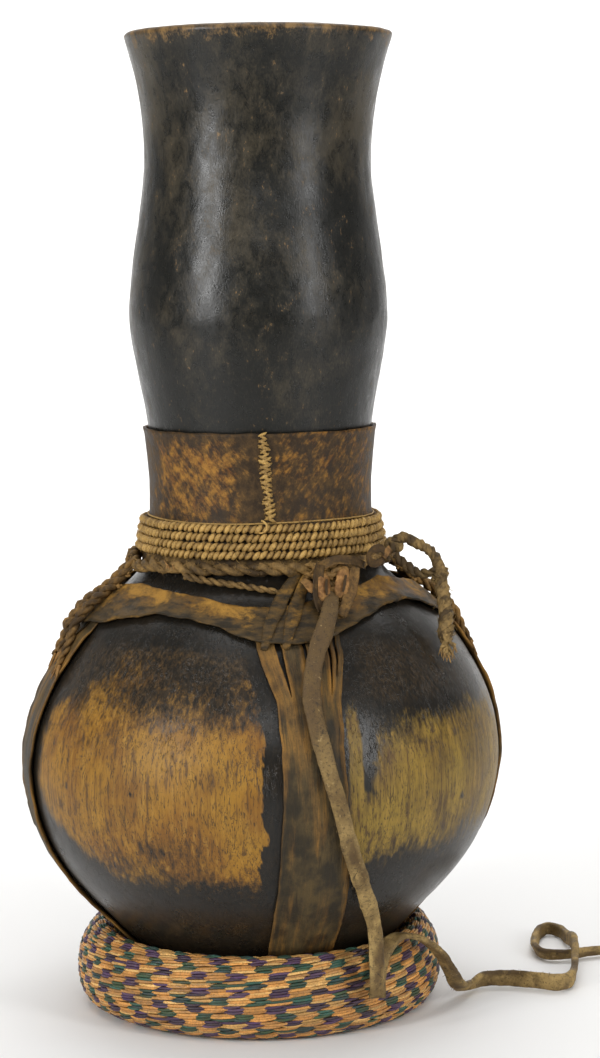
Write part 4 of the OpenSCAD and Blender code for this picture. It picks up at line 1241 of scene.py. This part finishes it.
def make_knot():
    m = Mesh()
    c = np.array([66.0 * math.sin(math.radians(27)), -66.0 * math.cos(math.radians(27)), 193.5])
    ar = math.radians(27)
    out = np.array([math.sin(ar), -math.cos(ar), 0.0]); tan = np.array([math.cos(ar), math.sin(ar), 0.0]); upv = np.array([0, 0, 1.0])

    def loop(ctrl, r, seed, tint=0.5, count=2, pitch=0.009, blaze=0):
        pts = np.array([c + tan * x + out * y + upv * z for x, y, z in ctrl])
        plies(m, catmull(pts, 8) * MM, r * MM, pitch, count, seed=seed, tint=tint, rough=0.25)

    loop([(-9, -4.5, 6.5), (-5.5, 0.5, 7.6), (0, 3.4, 6.0), (4.8, 3.6, 2.0), (4.6, 3.0, -2.6), (0.6, 2.8, -5.2), (-3.8, 2.6, -3.4), (-5.6, 1.6, 0.6), (-3.4, 2.2, 5.0), (1.0, 4.4, 8.2), (6, 0.8, 10.0), (9.5, -4.0, 9.5)], 1.75, 401)
    loop([(-7.5, -1.0, -5.5), (-4.5, 4.0, -1.2), (0.0, 5.6, 1.4), (4.6, 4.4, 4.4), (8.0, 0.4, 4.2), (9.2, -3.6, 0.6)], 1.65, 409, 0.62)
    loop([(-9.2, -3.2, 0.5), (-6.2, 1.0, 3.0), (-1.5, 5.0, 3.4), (3.2, 5.2, -0.8), (5.2, 2.0, -6.0), (4.4, -1.0, -10.5)], 1.5, 415, 0.45)
    loop([(-6.8, -1.5, 9.0), (-2.0, 2.0, 10.4), (3.0, 1.0, 12.4), (7.0, -2.5, 13.2)], 1.4, 421, 0.6)
    loop([(9.0, -3.0, 3.0), (12.5, -3.0, 0.5), (14.5, -4.0, 4.0), (12.0, -5.0, 7.5), (8.0, -4.5, 7.0)], 1.3, 427, 0.5)
    # two folded leather tips standing in front of the knot, worn light, and the strip behind them
    up2 = out * 0.95 + upv * 0.30
    for tip, seed_ in (([[28.9, -61.6, 201.2], [27.9, -65.2, 199.2], [27.5, -67.3, 196.0], [27.6, -68.3, 192.8], [28.6, -67.6, 189.6]], 431),
                       ([[37.0, -59.6, 203.4], [36.2, -63.2, 200.6], [35.4, -65.2, 197.2], [34.6, -66.4, 194.0], [33.6, -66.2, 191.2]], 433)):
        strip(m, tip, up2, [3.4, 5.4, 6.2, 5.8, 3.6], 1.5, 0.6, [0.15, 0.65, 0.85, 0.7, 0.2], seed_, cols=9, curl=-0.9)
        q = np.array(tip) + out * 1.3
        strip(m, q[1:4] + out * 0.3, up2, [0.8, 1.3, 0.8], 0.7, 0.05, 0.0, seed_ + 1, cols=5)
    strip(m, [[25.5, -62.0, 205.5], [24.9, -65.2, 201.0], [24.3, -67.2, 196.0], [24.4, -68.6, 191.0], [25.6, -70.5, 185.5]], up2, [3.4, 4.4, 4.8, 5.0, 3.6], 1.6, 0.25, 0.0, 435, cols=9, curl=0.6)
    strip(m, [[41.0, -57.0, 203.0], [40.0, -60.4, 199.0], [38.8, -62.6, 194.5], [36.6, -65.6, 189.0], [33.6, -69.4, 184.0]], up2, [3.4, 4.8, 5.2, 5.2, 4.0], 1.6, 0.42, [0, 0.1, 0.1, 0, 0], 436, cols=9, curl=0.6)
    strip(m, [[22.0, -60.0, 199.5], [27.0, -62.2, 204.6], [33.0, -60.6, 206.6], [39.5, -57.2, 206.0], [44.5, -52.4, 203.2]], up2, [2.6, 3.8, 4.2, 3.8, 2.8], 1.6, 0.35, 0.0, 438, cols=7, curl=0.6)
    # hide curl with a hole, right of the knot
    u = np.linspace(0, 2 * np.pi, 15)
    o2 = np.array([0.70, -0.71, 0.0]); t2 = np.array([0.71, 0.70, 0.0])
    cc = np.array([50.2, -52.6, 207.4])
    ring_ = np.array([cc + t2 * (4.4 * math.cos(x)) + upv * (3.4 * math.sin(x)) + o2 * (0.9 * math.sin(x + 0.7)) for x in u])
    strip(m, ring_[:-1], o2 + 0.25 * t2, [2.7, 3.4, 3.0, 3.6, 2.8], 1.3, 0.35, [0.0, 0.05, 0.0, 0.1], 437)
    strip(m, [cc + t2 * 3.4 + upv * -1.0 + o2 * 1.0, cc + t2 * 5.6 + upv * 1.2 + o2 * 1.0, cc + t2 * 8.4 + upv * 2.6], o2 + 0.2 * upv, [2.4, 3.4, 2.2], 1.2, 0.5, [0.2, 0.5, 0.45], 439)
    # tan tab at the end of the second cord
    strip(m, [[18.6, -63.6, 198.6], [20.8, -65.4, 196.6], [23.2, -66.6, 194.2]], out, [2.8, 4.2, 3.4], 1.2, 0.5, [0.2, 0.55, 0.6], 441)
    m.build("knot_bundle", M_KNOT, "vessel", ["thong_knot"], warp_vessel)


# ---------------------------------------------------------------------------
# hanging rope at the right
# ---------------------------------------------------------------------------
def make_hanging_rope():
    m = Mesh()
    # knob where it comes out of the harness
    c = np.array([59, -24, 208.5])
    for k in range(3):
        u = np.linspace(0, 2 * np.pi, 19)
        q = np.array([c + 2.3 * np.array([math.sin(x) * 0.55, -math.sin(x) * 0.3 + 0.25 * k, math.cos(x)]) + np.array([(k - 1) * 1.7, 0.1, 0.2]) for x in u])
        sweep(m, q[:-1] * MM, 1.45 * MM, 8, rgba(np.full(18, 0.45 + 0.1 * k)), closed=True, rough=0.25, seed=501 + k)
    arch = catmull([[58.6, -24, 209.6], [61.6, -24.1, 212.2], [65, -24.3, 211.6], [69, -24.9, 209.4], [73.4, -26.1, 207.4], [76.6, -27.6, 204.0], [78.4, -29.0, 199.4], [79.0, -30.6, 194.6]], 10)
    plies(m, arch * MM, np.interp(np.linspace(0, 1, len(arch)), [0, 0.15, 0.5, 0.8, 1], [2.2, 2.5, 2.3, 2.7, 2.9]) * MM, 0.0085, 3, seed=511, tint=0.40, rough=0.4)
    low = catmull([[59.6, -26.0, 204.6], [63.0, -26.8, 200.9], [67.4, -27.8, 196.9], [72.0, -28.8, 196.2], [77.0, -29.8, 197.6]], 10)
    plies(m, low * MM, np.interp(np.linspace(0, 1, len(low)), [0, 0.5, 1], [1.8, 2.3, 2.1]) * MM, 0.0080, 2, seed=521, tint=0.22, rough=0.45)
    down = catmull([[78.6, -29.6, 198.6], [79.2, -31.4, 193.4], [79.6, -34.2, 187.2], [80.1, -37.4, 181.4], [80.2, -40.4, 176.8], [79.5, -43.0, 172.4], [79.4, -44.4, 169.6]], 10)
    plies(m, down * MM, np.interp(np.linspace(0, 1, len(down)), [0, 0.2, 0.8, 1], [2.9, 3.2, 3.4, 3.0]) * MM, 0.0120, 4, seed=531, tint=0.42, rough=0.38)
    # a wrap round the top of the braid
    u = np.linspace(0, 2 * np.pi * 1.6, 40)
    wrap_ = np.stack([78.7 + 3.0 * np.cos(u), -30.4 + 2.9 * np.sin(u), 197.4 - 1.9 * u / 6.28 + 0.8 * np.cos(u)], 1)
    plies(m, wrap_ * MM, 1.2 * MM, 0.006, 2, seed=541, tint=0.36, rough=0.3)
    k = np.arange(70)
    h1 = _h(k, k * 0, 551); h2 = _h(k, k * 0 + 1, 552)
    i = (h1 * (len(down) - 1)).astype(int)
    ang = h2 * 2 * np.pi
    n = np.stack([np.cos(ang), np.sin(ang), 0.3 + 0 * ang], 1)
    hairs(m, (down[i] + n * 3.2) * MM, n, 553, 0.0030, 0.00013)
    rope = m.build("hanging_braid", M_LOOP, "hanging_rope", ["carrying_loop"], warp_vessel)
    # frayed end
    m = Mesh()
    tips = ([77.2, -47.8, 166.2], [78.6, -48.6, 164.2], [80.4, -48.8, 163.2], [82.0, -48.0, 164.4], [83.2, -47.0, 166.8], [78.4, -46.8, 166.0])
    for j, tip in enumerate(tips):
        a = 2 * np.pi * j / len(tips)
        start = np.array([79.4 + 1.5 * math.cos(a), -44.0 + 1.3 * math.sin(a), 171.2])
        mid = (start + np.array(tip)) / 2 + 1.1 * np.array([math.cos(a), math.sin(a), 0.2])
        path = catmull([start, mid, tip], 8)
        plies(m, path * MM, np.linspace(1.55, 1.0, len(path)) * MM, 0.0075, 2, seed=561 + j, tint=0.65, rough=0.3)
        for q in range(4):
            b = a + q * 1.6
            u = np.linspace(0, 1, 5)[:, None]
            f = np.array(tip) + u * np.array([1.2 * math.cos(b), 1.2 * math.sin(b), -2.2 - 0.5 * q])
            sweep(m, f * MM, np.linspace(0.42, 0.12, 5) * MM, 4, rgba(np.full(5, 0.95), 0, 0.35), rough=0.2)
    m.build("braid_frayed_end", M_LOOP, "hanging_rope", ["loop_tail"], warp_vessel)


# ---------------------------------------------------------------------------
# long flat carrying thong
# ---------------------------------------------------------------------------
THONG = np.array([[31, -64, 194], [31, -67, 191.5], [30, -73.5, 186.5], [27.5, -82, 179], [24.5, -88, 172], [22.5, -94, 163], [22, -99.5, 153],
                  [24, -104, 142], [27, -106.5, 131], [30, -108, 120], [33, -107.5, 110], [35.5, -105.5, 99], [38, -102, 88.5], [41, -97, 78],
                  [44, -89.5, 67], [46.5, -82.5, 57.5], [48, -78.5, 49], [48.5, -77.5, 40], [48.7, -78, 31], [48.7, -78, 24], [49, -75, 19.5],
                  [49.5, -71.2, 23], [50.5, -67, 30], [53, -61.5, 36.5], [58, -54.5, 39.8], [64, -49, 38.8], [71, -43.5, 34.8], [78, -37, 27],
                  [83, -29, 17], [87, -19, 8], [92, -7, 3.8], [100, 3, 3.5], [112, 4, 3.5], [124, 0, 3.5], [133, -4, 3.5], [139, 0, 3.5],
                  [142, 10, 3.5], [144, 24, 4.6], [145.5, 38, 7.4], [146, 50, 8.6], [146, 62, 7], [145.5, 76, 4], [143.5, 90, 3.2], [138, 96, 3.1],
                  [133, 88, 3.1], [130, 74, 3.1], [129, 60, 3.1], [131.5, 50, 3], [138, 47.5, 3], [146, 49, 3], [154, 53, 2.9], [164, 56, 2.8],
                  [175, 59, 2.7], [185, 66, 2.6], [190, 77, 2.5], [191, 88, 2.4]], float)


def make_thong():
    n0 = len(THONG)
    t = np.gradient(THONG, axis=0); t /= np.linalg.norm(t, axis=1)[:, None]
    H = np.zeros((n0, 3)); W = np.zeros(n0)
    for i, q in enumerate(THONG):
        az = math.atan2(q[0], -q[1])
        tang = np.array([math.cos(az), math.sin(az), 0.0])
        flat_ = np.array([t[i][1], -t[i][0], 0.0]); flat_ /= np.linalg.norm(flat_) + 1e-9
        if i <= 22:
            H[i] = tang
        elif i <= 25:
            k = (i - 22) / 3.0
            H[i] = tang * (1 - k) + flat_ * k
        else:
            H[i] = flat_
        # set on edge where it twists past the ring, half flat in the far loop
        v = np.interp(i, [28, 30, 31, 33, 41, 44, 47, 49, 55], [0, 0.55, 0.85, 0.95, 0.9, 0.85, 0.75, 0.7, 0.3])
        if i > 28:
            H[i] = H[i] * (1 - v) + np.array([0, 0, 1.0]) * v
        W[i] = np.interp(i, [0, 2, 4, 8, 14, 18, 22, 26, 31, 36, 39, 41, 46, 50, 53, 55], [6.0, 7.4, 7.9, 7.4, 7.3, 7.2, 7.0, 7.6, 7.8, 7.8, 7.4, 6.6, 5.6, 5.4, 4.6, 2.4])
    for i in range(1, n0):
        if np.dot(H[i], H[i - 1]) < 0:
            H[i] = -H[i]
    path = catmull(THONG, 8)
    k = np.linspace(0, n0 - 1, len(path))
    path[:, 2] += np.interp(k, [29, 31, 37, 40], [0, 0.7, 0.7, 0])
    hh = np.stack([np.interp(k, np.arange(n0), H[:, c]) for c in range(3)], 1)
    ww = np.interp(k, np.arange(n0), W)
    d = np.r_[0, np.cumsum(np.linalg.norm(np.diff(path, axis=0), axis=1))]
    s = np.arange(0, d[-1], 1.15)
    p = np.stack([np.interp(s, d, path[:, c]) for c in range(3)], 1)
    hh = np.stack([np.interp(s, d, hh[:, c]) for c in range(3)], 1)
    ww = np.interp(s, d, ww)
    t = np.gradient(p, axis=0); t /= np.linalg.norm(t, axis=1)[:, None]
    sd = hh - t * np.sum(hh * t, 1)[:, None]; sd /= np.linalg.norm(sd, axis=1)[:, None]
    # slow rocking of the strip about its own line
    nn = np.cross(t, sd)
    rock = np.radians(12) * (fbm(s / 26.0, 0.5, 2, 601) - 0.5) * 2
    sd2 = np.cos(rock)[:, None] * sd + np.sin(rock)[:, None] * nn
    nn2 = np.cross(t, sd2)
    sides = 14
    a = np.linspace(0, 2 * np.pi, sides, endpoint=False)
    thick = 2.9 + 0.9 * (fbm(s / 7.0, 2.5, 2, 603) - 0.5) + np.interp(s, [0, 300, 380, 560], [0, 0, 0.7, 0.4])
    thick = thick * np.interp(s, [0, d[-1] - 25, d[-1]], [1, 1, 0.6])
    wid = ww * 0.5 * (1 + 0.14 * (fbm(s / 6.0, 4.5, 3, 605) - 0.5) * 2)
    ca = np.cos(a); sa = np.sin(a)
    sq = np.sign(ca) * np.abs(ca) ** 0.75
    S, AA = np.meshgrid(s, a, indexing="ij")
    edge = 1 + 0.07 * (fbm(S / 3.0, np.where(ca > 0, 1.5, 8.5)[None, :] + 0 * S, 3, 607) - 0.5) * 2 * np.abs(ca)
    lump = 1 + 0.20 * (fbm(S / 4.0, (ca * 2 + sa * 1.3 + 12)[None, :] + 0 * S, 3, 609) - 0.5) * 2
    # one edge thicker, like a strip cut from a rolled hide; a shallow groove along the middle
    prof = np.abs(sa) ** 0.8 * np.sign(sa) * (1 + 0.22 * ca - 0.30 * np.exp(-(ca / 0.35) ** 2))
    v = p[:, None, :] + sd2[:, None, :] * (wid[:, None] * sq[None, :] * edge)[..., None] + nn2[:, None, :] * (thick[:, None] * 0.5 * prof[None, :] * lump)[..., None]
    v[..., 2] = np.maximum(v[..., 2], 0.12)
    n = len(s)
    f = grid_faces(n, sides, wrap_v=True, flip=False)
    vv = v.reshape(-1, 3)
    m0 = len(vv)
    q = np.arange(sides); q2 = (q + 1) % sides
    caps = [np.stack([np.full(sides, m0), q2, q], 1), np.stack([np.full(sides, m0 + 1), (n - 1) * sides + q, (n - 1) * sides + q2], 1)]
    vv = np.vstack([vv, p[0] - t[0] * 0.6, p[-1] + t[-1] * 1.2])
    dark = sstep(0.55, 0.75, fbm(S / 14.0, (ca + 3)[None, :] + 0 * S, 3, 611))
    dark = np.maximum(dark, 1.0 - sstep(45, 150, S + 26 * (fbm(S / 9.0, (ca * 2 + 6)[None, :] + 0 * S, 3, 617) - 0.5)))
    col = rgba(dark, 0.5 + 0.5 * ca[None, :] + 0 * S, 0).reshape(-1, 4)
    col = np.vstack([col, col[:1], col[-1:]])
    m = Mesh()
    m.add(vv * MM, [f] + caps, col)
    # loose fibres along both edges
    kk = np.arange(420)
    h1 = _h(kk, kk * 0, 613); h2 = _h(kk, kk * 0 + 1, 614)
    i = (h1 * (n - 3)).astype(int) + 1
    sg = np.where(h2 > 0.5, 1.0, -1.0)
    base = p[i] + sd2[i] * (wid[i] * 0.93 * sg)[:, None]
    nr = sd2[i] * sg[:, None] + nn2[i] * (h2 - 0.5)[:, None] * 2 + t[i] * (h1 - 0.5)[:, None]
    ok = (wid[i] < 4.5) & (base[:, 2] > 1.6)
    hairs(m, base[ok] * MM, nr[ok], 615, 0.0012, 0.00012, 0.6)
    ob = m.build("flat_carrying_thong", M_THONG, "vessel", ["carrying_thong"], None)
    return ob


# ---------------------------------------------------------------------------
# woven straw ring
# ---------------------------------------------------------------------------
def ring_outline():
    """closed outline of the ring's section, counter-clockwise from the inner foot (mm)"""
    out = catmull([[52, 0.0], [61, -0.05], [70.5, 0.0], [75.4, 0.9], [79.2, 3.8], [81.9, 9], [82.7, 17], [81.2, 26], [77.6, 32.6], [74.4, 35.8], [70.8, 36.4]], 8)
    seat = WOOD + 2.65 * WOOD_N
    seat = seat[(seat[:, 0] > 50.2) & (seat[:, 0] < 66.2) & (seat[:, 1] < 60)][::-1]
    inn = catmull([seat[-1].tolist(), [47.6, 17.8], [45.6, 15], [44.7, 12.2]], 6)[1:]
    inn2 = catmull([[44.7, 7.2], [45.6, 4.6], [48.6, 1.1], [52, 0.0]], 6)
    return np.vstack([out, seat]), inn, inn2


def ring_shift(v, seatward):
    """ring a little out of round, leaning with the vessel at its seat"""
    v = v.copy()
    az = np.degrees(np.arctan2(v[:, 0], -v[:, 1]))
    r = np.hypot(v[:, 0], v[:, 1]) * 1000
    v[:, 0] += (-1.4 - 1.5 * sstep(62, 80, r)) * MM * sstep(0, 6, v[:, 2] * 1000 + 2)
    return v


def make_ring():
    out, inn, inn2 = ring_outline()
    full = np.vstack([inn2, out[1:], inn])
    d = np.r_[0, np.cumsum(np.linalg.norm(np.diff(full, axis=0), axis=1))]
    total = d[-1]
    rows = 32
    pitch = total / rows
    # the outline's own outward direction
    tt = np.gradient(full, axis=0); tt /= np.linalg.norm(tt, axis=1)[:, None]
    nrm = np.stack([tt[:, 1], -tt[:, 0]], 1)

    def at(s, off):
        r = np.interp(s, d, full[:, 0]); z = np.interp(s, d, full[:, 1])
        nr = np.interp(s, d, nrm[:, 0]); nz = np.interp(s, d, nrm[:, 1])
        l = np.hypot(nr, nz)
        return r + nr / l * off, z + nz / l * off

    m = Mesh()
    # dark closed sheet under the strands, painted shade seen in the gaps between them, with the slot of the seam left
    # open
    az = np.arange(0, 360, 4.0)
    ss = np.linspace(0, total, 44)
    A, S = np.meshgrid(az, ss)
    R, Z = at(S, -0.95)
    R2, Z2 = at(S, 0.0)
    ar = np.radians(A)
    P = np.stack([R * np.sin(ar), -R * np.cos(ar), Z], -1) * MM
    N = np.stack([(R2 - R) * np.sin(ar), -(R2 - R) * np.cos(ar), Z2 - Z], -1)
    N /= np.linalg.norm(N, axis=-1)[..., None]
    gap_shade_col = np.zeros(A.shape + (4,)); gap_shade_col[..., :3] = (0.060, 0.034, 0.018); gap_shade_col[..., 3] = 1
    thick_sheet(m, P, N, 1.1 * MM, gap_shade_col, wrap_j=True)
    natural = np.array([(0.68, 0.38, 0.115), (0.78, 0.46, 0.150), (0.60, 0.275, 0.068), (0.72, 0.335, 0.080), (0.50, 0.245, 0.070)])
    purple = np.array([(0.052, 0.026, 0.072), (0.072, 0.034, 0.095), (0.036, 0.024, 0.050), (0.090, 0.050, 0.105)])
    green = np.array([(0.018, 0.068, 0.044), (0.028, 0.110, 0.078), (0.020, 0.056, 0.056), (0.038, 0.080, 0.036)])
    cells = 58
    V = []; F = []; C = []; base = 0
    for row in range(rows):
        s0 = row * pitch
        mid = s0 + pitch / 2
        rm, zm = at(mid, 0)
        seen = (rm > 66 and zm > 1.0) or (zm > 20)
        ns = 3 if seen else 2
        along = 5 if seen else 4
        dark = purple if row % 2 == 0 else green
        for cell in range(cells):
            nat = (cell + row) % 2 == 0
            jit = float(_h(np.array(cell), np.array(row), 701))
            for k in range(ns):
                h = [float(_h(np.array(cell * 7 + k), np.array(row * 11 + q), 703 + q)) for q in range(5)]
                pal = natural if nat else dark
                colr = pal[int(h[0] * len(pal)) % len(pal)] * (0.75 + 0.5 * h[1])
                if h[2] > 0.965:
                    colr = (dark if nat else natural)[0]
                cw = 360.0 / cells
                # strands lean a little, end unevenly and dive under their neighbours
                drift = 0.42 * math.sin(row * 0.9 + 1.0) + 0.22 * row
                shift_ = 0.10 * cw * float(fbm(np.array(cell * 0.6), np.array(row * 0.9), 2, 709) - 0.5) * 2
                zig = 0.16 * ((k % 2) - 0.5) * cw + 0.34 * cw * (h[3] - 0.5)
                span = (1.50 if nat else 1.12) + 0.22 * (h[4] - 0.5)
                a0 = (cell + 0.5 + drift) * cw - span * cw / 2 + shift_ + zig
                a1 = a0 + cw * span
                u = np.linspace(0, 1, along)
                aa = a0 + (a1 - a0) * u
                sc = s0 + pitch * ((k + 0.5) / ns + 0.06 * (h[1] - 0.5)) + pitch * 0.30 * (u - 0.5) * (1 if nat else 0.7)
                hw = pitch / ns * (0.62 if nat else 0.58)
                arch = np.sin(np.pi * u) ** 0.75
                hgt = -1.05 + (0.95 + 0.22 * h[0] + (0.0 if nat else 0.16)) * arch
                pts = []
                for dx, dh in ((-1.0, -0.55), (-0.55, 0.0), (0.55, 0.0), (1.0, -0.55)):
                    R, Z = at(np.clip(sc + dx * hw, 0, total), hgt + dh * 0.8)
                    w = np.radians(aa)
                    pts.append(np.stack([R * np.sin(w), -R * np.cos(w), np.maximum(Z, 0.05 + 0 * Z)], -1))
                v = np.stack(pts, 1).reshape(-1, 3)
                f = grid_faces(along, 4, wrap_v=True, flip=False)
                caps = np.array([[3, 2, 1, 0], [(along - 1) * 4, (along - 1) * 4 + 1, (along - 1) * 4 + 2, (along - 1) * 4 + 3]])
                V.append(v * MM); F.append(np.vstack([f, caps]) + base); base += len(v)
                C.append(np.tile([*colr, 1.0], (len(v), 1)))
    m.add(np.vstack(V), [np.vstack(F)], np.vstack(C))
    m.build("woven_cover", M_STRAW, "ring_stand", ["stand_cover"], lambda v: ring_shift(v, True))
    # seam cord round the inside
    m = Mesh()
    az = np.linspace(0, 360, 241)
    plies(m, polar(45.5, az, 9.7 + 0.2 * np.sin(np.radians(az) * 7)), 1.05 * MM, 0.006, 2, seed=721, tint=0.6, sides=5, rough=0.15, step=0.0015)
    for k in range(60):
        a = k * 6.0 + 1.5
        u = np.linspace(-1, 1, 7)
        sweep(m, polar(45.6 - 1.5 * np.sqrt(np.clip(1 - u * u, 0, 1)), a + 0.9 * u, 9.7 + 2.9 * u), np.array([.35, .5, .55, .6, .55, .5, .35]) * MM, 5, rgba(np.full(7, 0.8)), seed=k)
    m.build("inner_seam_cord", M_FIBRE, "ring_stand", ["stand_seam"], lambda v: ring_shift(v, True))
    # bundled grass inside the cover
    m = Mesh()
    prof_ = []
    for s in np.linspace(0, total, 48, endpoint=False):
        r, z = at(s, -2.75)
        prof_.append((float(r), float(max(z, 2.7))))
    prof_ = np.array(prof_)
    A = np.arange(0, 360, 3.0)

    def disp(A_, R_, Z_):
        k = np.arange(len(R_))[:, None] + 0 * A_
        b = 0.35 * (vnoise(k * 0.9, A_ / 20.0, 731, px=None) - 0.5)
        return (R_ + b * 0) * MM, (Z_ + b * 0) * MM

    lathe(m, np.vstack([prof_, prof_[:1]])[:-1], 120, disp, lambda A_, R_, Z_: rgba(0.5 + 0 * A_), closed=True)
    m.build("grass_filling", M_GRASS, "ring_stand", ["stand_core"], lambda v: ring_shift(v, True))


make_vessel()
make_lid()
make_collar()
make_binding()
make_neck_rope()
make_band()
make_straps()
make_lacings()
make_knot()
make_hanging_rope()
make_thong()
make_ring()


# ---------------------------------------------------------------------------
# floor, light
# ---------------------------------------------------------------------------
def stage_material():
    m = bpy.data.materials.new("floor_paint")
    m.use_nodes = True
    b = m.node_tree.nodes["Principled BSDF"]
    b.inputs["Base Color"].default_value = (0.86, 0.855, 0.845, 1)
    b.inputs["Roughness"].default_value = 0.75
    return m


prof_y = [-1.0, 3.0] + [3.0 + 0.9 * math.sin(math.radians(q)) for q in range(6, 91, 6)] + [3.9]
prof_z = [0.0, 0.0] + [0.9 - 0.9 * math.cos(math.radians(q)) for q in range(6, 91, 6)] + [5.0]
fm = bpy.data.meshes.new("floor")
fm.from_pydata([(x, y, z) for y, z in zip(prof_y, prof_z) for x in (-6, 6)], [],
               [(2 * q, 2 * q + 1, 2 * q + 3, 2 * q + 2) for q in range(len(prof_y) - 1)])
fm.polygons.foreach_set("use_smooth", [True] * len(fm.polygons))
floor = bpy.data.objects.new("floor", fm)
floor.location.z = -0.0004
bpy.context.scene.collection.objects.link(floor)
floor.data.materials.append(stage_material())

world = bpy.data.worlds.new("studio")
bpy.context.scene.world = world
world.use_nodes = True
world.node_tree.nodes["Background"].inputs["Color"].default_value = (1.0, 1.0, 1.0, 1)
world.node_tree.nodes["Background"].inputs["Strength"].default_value = 0.24


def area(name, loc, target, size, size_y, power, color=(1, 1, 1)):
    d = bpy.data.lights.new(name, "AREA")
    d.shape = "RECTANGLE"
    d.size = size; d.size_y = size_y
    d.energy = power; d.color = color
    o = bpy.data.objects.new(name, d)
    o.location = loc
    o.rotation_euler = (Vector(target) - Vector(loc)).to_track_quat("-Z", "Y").to_euler()
    bpy.context.scene.collection.objects.link(o)
    return o


area("soft_left", (-1.05, -1.00, 0.58), (0, 0, 0.24), 0.26, 0.62, 12.0)
area("soft_right", (1.15, -1.00, 0.60), (0, 0, 0.24), 0.34, 0.85, 9.0)
area("soft_front", (0.15, -1.9, 1.45), (0, 0, 0.2), 1.2, 0.7, 7.5)
area("soft_top", (0.0, -0.20, 1.60), (0, 0, 0.15), 1.2, 1.0, 8.0)
area("wash_back", (0.0, 1.3, 2.4), (0, 3.5, 0.5), 3.4, 1.2, 125.0)

bpy.context.scene.view_settings.view_transform = "Standard"
bpy.context.scene.view_settings.look = "None"
